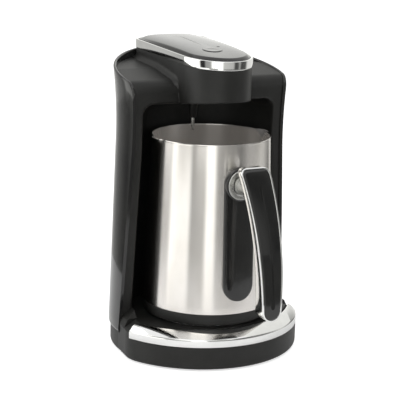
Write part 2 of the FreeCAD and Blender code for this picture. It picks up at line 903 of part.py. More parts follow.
def plate_seal():
    low = base_top - deck_thickness + 0.5
    return tube(plate_radius + plate_gasket, plate_radius, deck_thickness - 1, V(0, pot_axis, low))


def plate_tray():
    """Dished ring under the deck that carries the hotplate."""
    deck_under = base_top - deck_thickness
    plate_under = base_top + plate_rise - plate_thickness
    flange = tube(plate_radius + 7, plate_radius - 4, 1.5, V(0, pot_axis, deck_under - 1.5))
    lip = tube(plate_radius, plate_radius - 4, plate_under - deck_under, V(0, pot_axis, deck_under))
    body = fuse([flange, lip])
    holes = [cylinder(screw_radius + 0.1, 10, V(x, y, deck_under - 5)) for x, y in tray_places()]
    return body.cut(group(holes))


def tray_places():
    reach = plate_radius + 4.4
    return [(reach * sin(radians(a)), pot_axis + reach * cos(radians(a))) for a in (0, 120, 240)]


def tray_screws():
    under = base_top - deck_thickness - 1.5
    return group([screw(tray_screw_length, V(x, y, under), UP) for x, y in tray_places()])


def heating_element():
    """Sheathed ring under the hotplate, open between its two terminals."""
    plate_under = base_top + plate_rise - plate_thickness
    z = plate_under - element_tube
    ring = Part.makeTorus(element_radius, element_tube, V(0, pot_axis, z))
    gap = box(V(-5, pot_axis, z - 2 * element_tube),
              V(5, pot_axis + 2 * element_radius, z + 2 * element_tube))
    ring = ring.cut(gap)
    pins = [cylinder(1.2, 9, V(x, pot_axis + sqrt(element_radius ** 2 - 25), z - 9)) for x in (-6.5, 6.5)]
    return fuse([ring] + pins)


def thermostat():
    plate_under = base_top + plate_rise - plate_thickness
    can = cylinder(8.0, 5.0, V(0, pot_axis, plate_under - 5.0))
    base = cylinder(6.5, 4.0, V(0, pot_axis, plate_under - 9.0))
    tabs = [box(V(x - 0.4, pot_axis - 2.5, plate_under - 14), V(x + 0.4, pot_axis + 2.5, plate_under - 9))
            for x in (-4, 4)]
    return fuse([can, base] + tabs)


def thermal_fuse():
    plate_under = base_top + plate_rise - plate_thickness
    z = plate_under - 2.0
    can = cylinder(2.0, 11.0, V(-5.5, pot_axis - 14, z), ACROSS)
    leads = cylinder(0.5, 21.0, V(-10.5, pot_axis - 14, z), ACROSS)
    return can.fuse(leads).removeSplitter()


def terminal_level():
    """Height of the block's wire holes."""
    return base_top - deck_thickness - terminal_thickness / 2 - 0.5


def terminal_block():
    under = base_top - deck_thickness
    body = box(V(-terminal_half_width, terminal_y - terminal_half_depth, under - terminal_thickness),
               V(terminal_half_width, terminal_y + terminal_half_depth, under))
    ways = [cylinder(terminal_bore, 4 * terminal_half_depth,
                     V(x, terminal_y - 2 * terminal_half_depth, terminal_level()), DEPTH)
            for x in (-terminal_pitch, 0, terminal_pitch)]
    return body.cut(group(ways))


# Pot

def pot_radius(height):
    share = (height - pot_steel_bottom) / (pot_rim - pot_steel_bottom)
    return pot_foot_radius + (pot_rim_radius - pot_foot_radius) * share


def pot_cone(extra, low, high):
    wide = pot_radius(low) + extra
    narrow = pot_radius(high) + extra
    return turned([(0, low), (wide, low), (narrow, high), (0, high)], pot_axis)


def pot_body():
    """Steel pot with a flat floor and a pouring lip on each side."""
    floor_z = heat_disc_low + heat_disc_thickness
    neck = pot_cap_inner - seam_gap
    outer = pot_cone(0, pot_steel_bottom, pot_rim)
    outer = outer.fuse(cylinder(neck, pot_steel_bottom - floor_z, V(0, pot_axis, floor_z)))
    step = pot_steel_bottom + pot_wall
    inner = pot_cone(-pot_wall, step, pot_rim + 1)
    inner = inner.fuse(cylinder(neck - pot_wall, step - floor_z - pot_floor,
                                V(0, pot_axis, floor_z + pot_floor)))
    for side in (-1, 1):
        at = V(side * (pot_rim_radius - pot_lip_radius + pot_lip_reach), pot_axis, pot_rim - pot_lip_drop)
        outer = outer.fuse(Part.makeCone(0, pot_lip_radius, pot_lip_drop, at))
        inner = inner.fuse(Part.makeCone(0, pot_lip_radius, pot_lip_drop, at + V(0, 0, pot_lip_wall)))
    return outer.cut(inner).removeSplitter()


def pot_cap():
    """Black ring round the foot of the pot."""
    low = base_top + plate_rise + slide_gap + 0.4
    high = pot_steel_bottom
    return turned([(pot_cap_inner, low), (pot_cap_radius, low), (pot_radius(high) - 0.3, high),
                   (pot_cap_inner, high)], pot_axis)


def pot_heat_disc():
    disc = cylinder(heat_disc_radius, heat_disc_thickness, V(0, pot_axis, heat_disc_low))
    edges = [e for e in disc.Edges if e.BoundBox.ZMax < heat_disc_low + 0.01]
    return disc.makeFillet(1.0, edges)


def handle_strip():
    """Heat shield on the pot's front wall with a round lower end."""
    skin = pot_cone(strip_thickness, pot_steel_bottom, pot_rim)
    skin = skin.cut(pot_cone(0, pot_steel_bottom - 1, pot_rim + 1))
    low = strip_bottom + strip_half
    reach = 2 * pot_foot_radius
    at_low = V(0, pot_axis, low)
    at_high = V(0, pot_axis, neck_height)
    front = DEPTH * -1
    shape = fuse([cylinder(strip_half, reach, at_low, front), cylinder(strip_half, reach, at_high, front),
                  box(V(-strip_half, pot_axis - reach, low), V(strip_half, pot_axis, neck_height))])
    hole = cylinder(handle_screw_radius + 0.2, reach, V(0, pot_axis, neck_height), front)
    return skin.common(shape).cut(hole)


def collar_face():
    return pot_axis - pot_radius(neck_height) - strip_thickness - collar_depth


def handle_collar():
    disc = cylinder(strip_half, collar_depth + 6, V(0, collar_face(), neck_height), DEPTH)
    hole = cylinder(handle_screw_radius + 0.2, 20, V(0, collar_face() - 1, neck_height), DEPTH)
    return disc.cut(pot_cone(strip_thickness, pot_steel_bottom, pot_rim)).cut(hole)


def collar_ring():
    front = collar_face() - collar_ring_depth
    ring = tube(collar_ring_radius, neck_radius + 0.2, collar_ring_depth, V(0, front, neck_height), DEPTH)
    edges = [e for e in ring.Edges if e.BoundBox.YMax < front + 0.01]
    return ring.makeFillet(0.5, edges)


def handle_disc(radius, front, height=handle_curve_height):
    """Wide cylinder across the machine whose foremost line is at the depth front."""
    return cylinder(radius, 2 * base_radius, V(-base_radius, front + radius, height), ACROSS)


def handle_inner():
    return handle_disc(handle_inner_curve, handle_reach + handle_thickness, handle_inner_height)


def handle_front(inset):
    """Outline of the handle seen from the front, extruded through its depth."""
    top = handle_top - inset
    wide = handle_top_half - inset
    narrow = handle_bottom_half - inset
    corner = handle_corner_round - inset / 2
    end_z = handle_bottom + handle_bottom_half
    y = handle_reach - 20
    slack = corner * (1 - cos(pi / 4))
    bits = [Part.Arc(V(-narrow, y, end_z), V(0, y, end_z - narrow), V(narrow, y, end_z)).toShape()]
    for side in (-1, 1):
        corner_low = V(side * wide, y, top - corner)
        middle = V(side * (wide - slack), y, top - slack)
        corner_high = V(side * (wide - corner), y, top)
        bits.append(Part.makeLine(V(side * narrow, y, end_z), corner_low))
        bits.append(Part.Arc(corner_low, middle, corner_high).toShape())
    bits.append(Part.makeLine(V(corner - wide, y, top), V(wide - corner, y, top)))
    return Part.Face(Part.Wire(Part.__sortEdges__(bits))).extrude(V(0, 80, 0))


def handle_frame():
    """Chrome grip, a curved slab with a pocket in its outward face."""
    outer = handle_front(0).common(handle_disc(handle_curve, handle_reach)).cut(handle_inner())
    pocket_floor = handle_disc(handle_curve - insert_depth, handle_reach + insert_depth)
    body = outer.cut(handle_front(insert_rim).cut(pocket_floor))
    screw_hole = cylinder(handle_screw_radius + 0.2, 60, V(0, handle_reach, neck_height), DEPTH)
    return body.cut(screw_hole).cut(screw_sink())


def handle_insert():
    depth = insert_depth - 0.05
    body = handle_front(insert_rim + 0.05).common(handle_disc(handle_curve + insert_proud,
                                                              handle_reach - insert_proud))
    return body.cut(handle_disc(handle_curve - depth, handle_reach + depth))


def grip_inner_y(height):
    radius = handle_inner_curve
    rise = height - handle_inner_height
    return handle_reach + handle_thickness + radius - sqrt(radius ** 2 - rise ** 2)


def screw_head_y():
    return grip_inner_y(neck_height) - screw_seat


def screw_sink():
    """Counterbore for the long screw's head."""
    return cylinder(handle_screw_head + 0.3, 60, V(0, screw_head_y() - 60, neck_height), DEPTH)


def handle_neck():
    """Metal arm between the collar and the grip."""
    arm = cylinder(neck_radius, 60, V(0, collar_face() - 60, neck_height), DEPTH)
    arm = arm.common(handle_inner()).cut(screw_sink())
    return arm.cut(cylinder(handle_screw_radius + 0.2, 80, V(0, collar_face() - 70, neck_height), DEPTH))


def handle_screw():
    """Long screw from under the insert, through grip and arm, to the stud on the pot."""
    start = screw_head_y()
    end = pot_axis - pot_radius(neck_height) - stud_length
    shank = cylinder(handle_screw_radius, end - start, V(0, start, neck_height), DEPTH)
    head = cylinder(handle_screw_head, screw_seat, V(0, start - screw_seat, neck_height), DEPTH)
    return shank.fuse(head).removeSplitter()


def handle_stud():
    """Threaded stud welded to the pot's wall."""
    root = pot_axis - pot_radius(neck_height)
    stud = cylinder(handle_screw_radius, stud_length + 2, V(0, root - stud_length, neck_height), DEPTH)
    return stud.cut(pot_cone(0, pot_steel_bottom, pot_rim))


# Power board and wires

def power_board():
    board = box(V(-power_board_x / 2, power_board_y, power_board_bottom),
                V(power_board_x / 2, power_board_y + board_thickness, power_board_bottom + power_board_z))
    holes = [cylinder(screw_radius + 0.1, 10, V(x, power_board_y - 5, z), DEPTH)
             for x, z in standoff_places()]
    return board.cut(group(holes))


def power_board_screws():
    back = power_board_y + board_thickness
    return group([screw(power_screw_length, V(x, back, z), DEPTH * -1) for x, z in standoff_places()])


def on_board(x, z, wide, tall, deep):
    back = power_board_y + board_thickness
    return box(V(x - wide / 2, back, z - tall / 2), V(x + wide / 2, back + deep, z + tall / 2))


def relay():
    return on_board(relay_x, relay_z, relay_width, relay_height, relay_depth)


def transformer():
    core = on_board(transformer_x, transformer_z, core_width, core_height, core_depth)
    coil = on_board(transformer_x, transformer_z, coil_width, coil_width, coil_depth)
    return core.fuse(coil).removeSplitter()


def capacitor():
    back = power_board_y + board_thickness
    return cylinder(capacitor_radius, capacitor_depth, V(capacitor_x, back, capacitor_z), DEPTH)


def board_plug():
    return on_board(0, plug_z, plug_width, plug_height, plug_depth)


def harness():
    """Bundle of wires from the power board up to the control board."""
    radius = wire_bend
    start = V(0, power_board_y + board_thickness + plug_depth / 2, plug_z + plug_height / 2)
    top = V(0, start.y, harness_top)
    front = V(0, harness_front, harness_top)
    end = V(0, harness_front, board_top() - board_thickness)
    turn = radius * (1 - cos(pi / 4))
    bits = [
        Part.makeLine(start, top - V(0, 0, radius)),
        Part.Arc(top - V(0, 0, radius), top + V(0, -turn, -turn), top - V(0, radius, 0)).toShape(),
        Part.makeLine(top - V(0, radius, 0), front + V(0, radius, 0)),
        Part.Arc(front + V(0, radius, 0), front + V(0, turn, turn), front + V(0, 0, radius)).toShape(),
        Part.makeLine(front + V(0, 0, radius), end),
    ]
    section = Part.Wire(Part.makeCircle(wire_radius, start, UP))
    return Part.Wire(bits).makePipeShell([section], True, False)


def mains_wires():
    """Heater feed from the terminal block up to the foot of the power board."""
    low = terminal_level()
    back = wire_shaft_rear - 2 * feed_radius
    wires = []
    for x in (-terminal_pitch, terminal_pitch):
        start = V(x, terminal_y + terminal_half_depth, low)
        upright = cylinder(feed_radius, power_board_bottom + standoff_edge + 2 - low, V(x, back, low))
        level = cylinder(feed_radius, back - start.y, start, DEPTH)
        bend = Part.makeSphere(feed_radius, V(x, back, low))
        wires.append(fuse([upright, level, bend]))
    return group(wires)


SUBPARTS = {
    "base_housing": base_housing, "bottom_cover": bottom_cover, "rubber_feet": rubber_feet,
    "cover_screws": cover_screws, "cord_gland": cord_gland, "chrome_ring": chrome_ring,
    "hotplate": hotplate, "plate_seal": plate_seal, "plate_tray": plate_tray, "tray_screws": tray_screws,
    "heating_element": heating_element, "thermostat": thermostat, "thermal_fuse": thermal_fuse,
    "terminal_block": terminal_block, "side_shell": side_shell, "front_casing": front_casing,
    "head_housing": head_housing, "head_floor": head_floor, "chrome_band": chrome_band,
    "top_carrier": top_carrier, "top_plate": top_plate, "start_button": start_button,
    "button_spring": button_spring, "control_board": control_board, "button_switch": button_switch,
    "pilot_led": pilot_led, "light_pipe": light_pipe, "board_screws": board_screws, "buzzer": buzzer,
    "probe_boss": probe_boss, "probe_rod": probe_rod, "power_board": power_board,
    "power_board_screws": power_board_screws, "relay": relay, "transformer": transformer,
    "capacitor": capacitor, "board_plug": board_plug, "harness": harness, "mains_wires": mains_wires,
    "pot_body": pot_body, "pot_cap": pot_cap, "pot_heat_disc": pot_heat_disc,
    "handle_strip": handle_strip, "handle_collar": handle_collar, "collar_ring": collar_ring,
    "handle_neck": handle_neck, "handle_frame": handle_frame, "handle_insert": handle_insert,
    "handle_screw": handle_screw, "handle_stud": handle_stud,
}


def main():
    os.makedirs("parts", exist_ok=True)
    for name, make in SUBPARTS.items():
        save(name, make())


main()
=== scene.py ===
"""Looks of an electric Turkish coffee maker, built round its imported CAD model.

The helpers below work in millimetres about the centre of the round base, with the front
towards -Y; mesh_of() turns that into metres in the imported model's frame.
"""

import json
from functools import partial
from math import acos, cos, hypot, pi, radians, sin, sqrt

import bmesh
import bpy
from mathutils import Matrix, Vector


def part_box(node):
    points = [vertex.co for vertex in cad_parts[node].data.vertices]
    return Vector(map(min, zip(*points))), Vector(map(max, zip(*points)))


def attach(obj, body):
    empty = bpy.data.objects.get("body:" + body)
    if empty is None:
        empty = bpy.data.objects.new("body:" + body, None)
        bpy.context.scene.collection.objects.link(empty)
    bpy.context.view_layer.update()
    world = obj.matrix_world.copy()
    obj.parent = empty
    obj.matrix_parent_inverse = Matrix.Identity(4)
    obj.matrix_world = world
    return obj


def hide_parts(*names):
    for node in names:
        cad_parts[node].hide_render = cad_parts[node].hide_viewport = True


bl_info = {
    "name": "Electric Turkish Coffee Maker",
    "version": (1, 0, 0),
    "blender": (4, 5, 0),
    "location": "View3D > Sidebar > Coffee Maker",
    "description": "Shells, band, pot, handle, finishes and stage of a hotplate coffee maker",
    "category": "Add Mesh",
}

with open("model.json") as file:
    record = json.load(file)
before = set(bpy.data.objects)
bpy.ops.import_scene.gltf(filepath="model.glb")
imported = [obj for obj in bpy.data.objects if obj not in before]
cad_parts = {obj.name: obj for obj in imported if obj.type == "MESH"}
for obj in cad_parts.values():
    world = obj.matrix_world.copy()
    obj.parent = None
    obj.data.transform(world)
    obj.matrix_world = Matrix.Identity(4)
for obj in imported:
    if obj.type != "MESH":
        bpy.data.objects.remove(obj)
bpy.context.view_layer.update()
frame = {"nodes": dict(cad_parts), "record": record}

MM = 0.001
pot_low, pot_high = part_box("pot_body")
POT_Y = -15.0
BASE_Y = (pot_low.y + pot_high.y) / 2 - POT_Y * MM
POT_AXIS = BASE_Y + POT_Y * MM


# Meshes

def placed(name, data):
    """Object of some data, put in the scene."""
    made = bpy.data.objects.new(name, data)
    bpy.context.scene.collection.objects.link(made)
    return made


def mesh_of(name, shape):
    """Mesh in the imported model's frame from a shape, which is points in millimetres and faces."""
    points, faces = shape
    mesh = bpy.data.meshes.new(name)
    mesh.from_pydata([(x * MM, y * MM + BASE_Y, z * MM) for x, y, z in points], [], faces)
    return mesh


def mesh_piece(name, shape, body, finish, replaced, sharp=35.0):
    """Piece of a shape, riding on a body, in one of the finishes."""
    piece = placed(name, mesh_of(name, shape))
    smooth_faces(piece.data, sharp)
    piece.data.materials.append(material_of(finish))
    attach(piece, body)
    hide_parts(*replaced)
    return piece


def smooth_faces(mesh, sharp):
    """Outward normals and smooth shading, apart from edges that turn by more than sharp degrees."""
    edit = bmesh.new()
    edit.from_mesh(mesh)
    bmesh.ops.remove_doubles(edit, verts=edit.verts, dist=1e-7)
    bmesh.ops.recalc_face_normals(edit, faces=edit.faces)
    for face in edit.faces:
        face.smooth = True
    for edge in edit.edges:
        edge.smooth = len(edge.link_faces) == 2 and edge.calc_face_angle(0.0) < radians(sharp)
    edit.to_mesh(mesh)
    edit.free()


def skin(loops, closed=True, joined=False):
    """Points and quads between loops of equal length; joined also links the last to the first."""
    count = len(loops[0])
    points = [p for loop in loops for p in loop]
    rows = len(loops) if joined else len(loops) - 1
    columns = count if closed else count - 1
    faces = []
    for row in range(rows):
        near = row * count
        far = (row + 1) % len(loops) * count
        for k in range(columns):
            after = (k + 1) % count
            faces.append((near + k, near + after, far + after, far + k))
    return points, faces


def capped(loops):
    """Closed skin whose first and last loops are filled."""
    points, faces = skin(loops)
    count = len(loops[0])
    last = len(points) - count
    return points, faces + [tuple(range(count)), tuple(range(last, last + count))]


def turned(profile, x=0.0, y=0.0, count=96, closed=False):
    """Body of revolution about an upright axis from (radius, height) pairs."""
    loops = [[(x + r * cos(2 * pi * k / count), y + r * sin(2 * pi * k / count), z) for k in range(count)]
             for r, z in profile]
    return skin(loops, joined=True) if closed else capped(loops)


def turned_forward(profile, z, count=72, closed=False):
    """Body of revolution about a level axis towards the front from (radius, depth) pairs."""
    loops = [[(r * cos(2 * pi * k / count), y, z + r * sin(2 * pi * k / count)) for k in range(count)]
             for r, y in profile]
    return skin(loops, joined=True) if closed else capped(loops)


def even(line, count):
    """Closed line through (u, v) points, as count points at equal distances."""
    ends = line[1:] + line[:1]
    lengths = [hypot(b[0] - a[0], b[1] - a[1]) for a, b in zip(line, ends)]
    step = sum(lengths) / count
    result = []
    index = 0
    passed = 0.0
    for k in range(count):
        while passed + lengths[index] < k * step:
            passed += lengths[index]
            index += 1
        share = (k * step - passed) / lengths[index]
        a, b = line[index], ends[index]
        result.append((a[0] + (b[0] - a[0]) * share, a[1] + (b[1] - a[1]) * share))
    return result


def mirrored(right, count):
    """Closed line from its right half, as count points at equal distances."""
    left = [(-u, v) for u, v in reversed(right[1:-1])]
    return even(right + left, count)


def drawn_in(line, inset):
    """Closed line moved inwards; the line runs anticlockwise."""
    result = []
    count = len(line)
    for k in range(count):
        a, b = line[k - 1], line[(k + 1) % count]
        du, dv = b[0] - a[0], b[1] - a[1]
        length = hypot(du, dv)
        result.append((line[k][0] - dv / length * inset, line[k][1] + du / length * inset))
    return result


def towards(line, spine_low, spine_high, share):
    """Closed line shrunk towards an upright spine at u = 0; share 1 keeps it."""
    result = []
    for u, v in line:
        middle = min(max(v, spine_low), spine_high)
        result.append((u * share, middle + (v - middle) * share))
    return result


def arc(centre_u, centre_v, radius, start, end, count, radius_v=None):
    high = radius if radius_v is None else radius_v
    turns = [radians(start + (end - start) * k / count) for k in range(count + 1)]
    return [(centre_u + radius * cos(t), centre_v + high * sin(t)) for t in turns]


def mix(a, b, share):
    return a + (b - a) * share


def ease(share):
    share = min(max(share, 0.0), 1.0)
    return share * share * (3 - 2 * share)


# Finishes

NOISE_LOW = 0.3
NOISE_HIGH = 0.7
MATHS = "Math"
VECTOR_MATHS = "VectorMath"


def fill(node, values):
    """Sets some of a node's inputs by their names."""
    for name, value in values.items():
        node.inputs[name].default_value = value


def add(tree, kind, values=None):
    """Shader node of a kind, with some of its inputs set."""
    made = tree.nodes.new("ShaderNode" + kind)
    fill(made, values or {})
    return made


def shader(name, colour, roughness, metallic=0.0):
    """New material with its node tree and its surface node."""
    material = bpy.data.materials.new(name)
    material.use_nodes = True
    tree = material.node_tree
    surface = tree.nodes["Principled BSDF"]
    fill(surface, {"Base Color": (*colour, 1.0), "Roughness": roughness, "Metallic": metallic})
    material.diffuse_color = (*colour, 1.0)
    return material, tree, surface


def place(tree, stretch=(1.0, 1.0, 1.0)):
    """Object coordinates, stretched."""
    coordinates = add(tree, "TexCoord")
    mapping = add(tree, "Mapping", {"Scale": stretch})
    tree.links.new(coordinates.outputs["Object"], mapping.inputs["Vector"])
    return mapping.outputs["Vector"]


def noise(tree, vector, scale, detail=4.0, roughness=0.5):
    texture = add(tree, "TexNoise", {"Scale": scale, "Detail": detail, "Roughness": roughness})
    tree.links.new(vector, texture.inputs["Vector"])
    return texture.outputs["Fac"]


def shades(tree, surface, factor, dark, light):
    """Base colour that runs from dark to light with factor."""
    ramp = add(tree, "ValToRGB")
    for stop, position, colour in zip(ramp.color_ramp.elements, (NOISE_LOW, NOISE_HIGH), (dark, light)):
        stop.position = position
        stop.color = (*colour, 1.0)
    tree.links.new(factor, ramp.inputs["Fac"])
    tree.links.new(ramp.outputs["Color"], surface.inputs["Base Color"])


def spread(tree, value, low, high, start=0.0, end=1.0):
    """Moves a value that runs from start to end so that it runs from low to high."""
    moved = add(tree, "MapRange", {"From Min": start, "From Max": end, "To Min": low, "To Max": high})
    tree.links.new(value, moved.inputs["Value"])
    return moved.outputs["Result"]


def gloss_range(tree, surface, factor, low, high):
    """Roughness that runs from low to high with factor."""
    tree.links.new(spread(tree, factor, low, high, NOISE_LOW, NOISE_HIGH), surface.inputs["Roughness"])


def grain(tree, surface, factor, depth, strength=1.0):
    """Fine relief, depth in metres."""
    bump = add(tree, "Bump", {"Distance": depth, "Strength": strength})
    tree.links.new(factor, bump.inputs["Height"])
    tree.links.new(bump.outputs["Normal"], surface.inputs["Normal"])


def operation(tree, kind, what, *terms):
    """Maths node; each of its terms is a socket or a plain value."""
    made = add(tree, kind)
    made.operation = what
    for socket, term in zip(made.inputs, terms):
        if isinstance(term, bpy.types.NodeSocket):
            tree.links.new(term, socket)
        else:
            socket.default_value = term
    return made


def satin_black():
    """Moulded black plastic with a fine spark texture."""
    material, tree, surface = shader("satin_black", (0.012, 0.012, 0.011), 0.42)
    fill(surface, {"Specular IOR Level": 0.3})
    where = place(tree)
    shades(tree, surface, noise(tree, where, 60.0), (0.01, 0.01, 0.009), (0.015, 0.015, 0.014))
    fine = noise(tree, where, 2600.0, 3.0, 0.6)
    gloss_range(tree, surface, fine, 0.38, 0.5)
    grain(tree, surface, fine, 0.00006, 0.5)
    return material


def gloss_black():
    """Polished black plastic, with the faint waviness of a moulding and light handling marks."""
    material, tree, surface = shader("gloss_black", (0.012, 0.012, 0.012), 0.1)
    fill(surface, {"Coat Weight": 0.2, "Coat Roughness": 0.05})
    where = place(tree)
    shades(tree, surface, noise(tree, where, 45.0), (0.01, 0.01, 0.01), (0.016, 0.016, 0.015))
    gloss_range(tree, surface, noise(tree, where, 160.0, 6.0, 0.7), 0.08, 0.16)
    grain(tree, surface, noise(tree, where, 24.0, 1.0), 0.00025, 0.25)
    return material


def chrome():
    """Plated trim: nearly a mirror, with fine wipe marks."""
    material, tree, surface = shader("chrome", (0.86, 0.86, 0.85), 0.06, 1.0)
    where = place(tree)
    shades(tree, surface, noise(tree, where, 70.0), (0.82, 0.82, 0.81), (0.9, 0.9, 0.89))
    gloss_range(tree, surface, noise(tree, where, 420.0, 6.0, 0.7), 0.03, 0.11)
    return material


def angle_and_height(tree, what, amount):
    """Angle about an upright axis, from X and a Y that is worked on first, and the height."""
    coordinates = add(tree, "TexCoord")
    apart = add(tree, "SeparateXYZ")
    tree.links.new(coordinates.outputs["Object"], apart.inputs["Vector"])
    depth = operation(tree, MATHS, what, apart.outputs["Y"], amount)
    turn = operation(tree, MATHS, "ARCTAN2", apart.outputs["X"], depth.outputs["Value"])
    return turn.outputs["Value"], apart.outputs["Z"]


def round_place(tree, across, along):
    """Coordinates that run round the pot's axis and up it."""
    turn, height = angle_and_height(tree, "SUBTRACT", POT_AXIS)
    together = add(tree, "CombineXYZ")
    mapping = add(tree, "Mapping", {"Scale": (across, along, 1.0)})
    tree.links.new(turn, together.inputs["X"])
    tree.links.new(height, together.inputs["Y"])
    tree.links.new(together.outputs["Vector"], mapping.inputs["Vector"])
    return mapping.outputs["Vector"]


def facing_inwards(tree):
    """1 where a surface of the pot faces its axis, which is its satin inside, and 0 elsewhere."""
    place_of = add(tree, "TexCoord").outputs["Object"]
    normal = add(tree, "NewGeometry").outputs["Normal"]
    from_axis = operation(tree, VECTOR_MATHS, "SUBTRACT", place_of, (0.0, POT_AXIS, 0.0))
    flat = operation(tree, VECTOR_MATHS, "MULTIPLY", from_axis.outputs["Vector"], (1.0, 1.0, 0.0))
    along = operation(tree, VECTOR_MATHS, "DOT_PRODUCT", flat.outputs["Vector"], normal)
    return operation(tree, MATHS, "LESS_THAN", along.outputs["Value"], 0.0).outputs["Value"]


def pot_steel():
    """Stainless steel brushed round the pot, which stretches reflections upright; satin inside."""
    material, tree, surface = shader("pot_steel", (0.78, 0.75, 0.71), 0.24, 1.0)
    fill(surface, {"Anisotropic": 0.85, "Anisotropic Rotation": 0.25})
    around = add(tree, "Tangent")
    around.direction_type = "RADIAL"
    around.axis = "Z"
    tree.links.new(around.outputs["Tangent"], surface.inputs["Tangent"])
    streaks = noise(tree, round_place(tree, 60.0, 3.0), 4.0, 5.0, 0.65)
    cloud = noise(tree, round_place(tree, 3.0, 20.0), 1.5, 3.0)
    shades(tree, surface, cloud, (0.75, 0.72, 0.68), (0.82, 0.79, 0.76))
    gloss_range(tree, surface, streaks, 0.21, 0.25)
    grain(tree, surface, noise(tree, round_place(tree, 1.0, 900.0), 4.0, 5.0, 0.65), 0.00001, 0.2)
    tree.links.new(spread(tree, facing_inwards(tree), 1.0, 0.72), surface.inputs["Metallic"])
    return material


def plate_steel():
    """Plain drawn steel of the neck, tray and probe."""
    material, tree, surface = shader("plate_steel", (0.5, 0.5, 0.48), 0.28, 1.0)
    where = place(tree, (1.0, 12.0, 1.0))
    shades(tree, surface, noise(tree, where, 90.0), (0.44, 0.44, 0.42), (0.56, 0.56, 0.54))
    gloss_range(tree, surface, noise(tree, where, 700.0, 5.0, 0.7), 0.2, 0.36)
    return material


def aluminium():
    """Turned plate, with rings of fine tool marks."""
    material, tree, surface = shader("aluminium", (0.7, 0.7, 0.7), 0.35, 1.0)
    coordinates = place(tree)
    rings = add(tree, "TexWave", {"Scale": 600.0, "Distortion": 1.0})
    rings.wave_type = "RINGS"
    rings.rings_direction = "Z"
    tree.links.new(coordinates, rings.inputs["Vector"])
    gloss_range(tree, surface, rings.outputs["Fac"], 0.3, 0.45)
    shades(tree, surface, noise(tree, coordinates, 120.0), (0.62, 0.62, 0.61), (0.74, 0.74, 0.74))
    return material


def rubber():
    """Dusty black rubber."""
    material, tree, surface = shader("rubber", (0.03, 0.03, 0.03), 0.75)
    where = place(tree)
    shades(tree, surface, noise(tree, where, 300.0), (0.022, 0.022, 0.022), (0.045, 0.044, 0.042))
    grain(tree, surface, noise(tree, where, 3000.0), 0.00005, 0.5)
    return material


def circuit_board():
    """Green solder mask over faint tracks."""
    material, tree, surface = shader("circuit_board", (0.03, 0.2, 0.08), 0.35)
    tracks = add(tree, "TexBrick", {
        "Scale": 400.0, "Mortar Size": 0.06, "Color1": (0.02, 0.16, 0.06, 1.0),
        "Color2": (0.03, 0.22, 0.09, 1.0), "Mortar": (0.06, 0.3, 0.14, 1.0)})
    tree.links.new(place(tree), tracks.inputs["Vector"])
    tree.links.new(tracks.outputs["Color"], surface.inputs["Base Color"])
    return material


def mottled(name, colour, roughness, metallic, scale, dark, light):
    """Plain finish whose colour wanders between dark and light."""
    material, tree, surface = shader(name, colour, roughness, metallic)
    shades(tree, surface, noise(tree, place(tree), scale), dark, light)
    return material


def speckled(name, dark, light, roughness):
    """Moulded finish with a fine grain."""
    material, tree, surface = shader(name, light, roughness)
    where = place(tree)
    shades(tree, surface, noise(tree, where, 400.0), dark, light)
    grain(tree, surface, noise(tree, where, 2500.0), 0.00004, 0.4)
    return material


def clear_plastic():
    """Clear pin of the pilot light."""
    material, tree, surface = shader("clear_plastic", (0.92, 0.92, 0.92), 0.08)
    fill(surface, {"Transmission Weight": 0.9})
    gloss_range(tree, surface, noise(tree, place(tree), 500.0), 0.05, 0.14)
    return material


MOTTLED = {
    "screw_steel": ((0.55, 0.56, 0.57), 0.3, 1.0, 500.0, (0.48, 0.5, 0.52), (0.62, 0.62, 0.6)),
    "spring_steel": ((0.6, 0.6, 0.62), 0.22, 1.0, 800.0, (0.52, 0.52, 0.55), (0.68, 0.68, 0.68)),
    "silicone": ((0.28, 0.28, 0.28), 0.6, 0.0, 300.0, (0.24, 0.24, 0.24), (0.32, 0.32, 0.31)),
}
SPECKLED = {
    "component_black": ((0.025, 0.025, 0.025), (0.04, 0.04, 0.04), 0.45),
    "relay_blue": ((0.04, 0.12, 0.34), (0.06, 0.17, 0.44), 0.3),
    "coil_yellow": ((0.5, 0.4, 0.06), (0.64, 0.52, 0.1), 0.5),
    "ceramic": ((0.74, 0.72, 0.66), (0.84, 0.82, 0.77), 0.35),
    "white_plastic": ((0.72, 0.72, 0.7), (0.82, 0.82, 0.8), 0.4),
    "wire_jacket": ((0.03, 0.03, 0.03), (0.06, 0.06, 0.06), 0.5),
}
FINISHES = {make.__name__: make for make in (
    satin_black, gloss_black, chrome, pot_steel, plate_steel, aluminium, rubber, circuit_board,
    clear_plastic)}
FINISHES.update({name: partial(mottled, name, *look) for name, look in MOTTLED.items()})
FINISHES.update({name: partial(speckled, name, *look) for name, look in SPECKLED.items()})
MATERIALS = {}


def material_of(finish):
    """Material of a finish, made when it is first asked for and then shared."""
    if finish not in MATERIALS:
        MATERIALS[finish] = FINISHES[finish]()
    return MATERIALS[finish]


# Settings

def length(name, description, default):
    return bpy.props.FloatProperty(name=name, description=description, default=default, unit="LENGTH")


def angle(name, description, turn):
    return bpy.props.FloatProperty(name=name, description=description, default=radians(turn), subtype="ANGLE")


class CasingSettings(bpy.types.PropertyGroup):
    """Side shell of the casing"""

    shell_bottom: length("Shell bottom", "Height of the shell's lower edge", 0.016)
    shell_wall: length("Shell wall", "Thickness of the shell", 0.0024)
    rim_radius: length("Rim radius", "Radius of the shell at the rim", 0.0665)
    corner_round: length("Front corner", "Radius of the rounded top front corner", 0.010)


class HeadSettings(bpy.types.PropertyGroup):
    """Head, band, top plate and start button"""

    band_height: length("Band height", "Height of the bright band round the head", 0.0066)
    dome_rise: length("Dome rise", "Rise of the top plate over its band", 0.0032)
    button_radius: length("Button radius", "Radius of the start button", 0.007)
    foot_flare: length("Foot flare", "Width of the fillet between head and shoulder", 0.003)


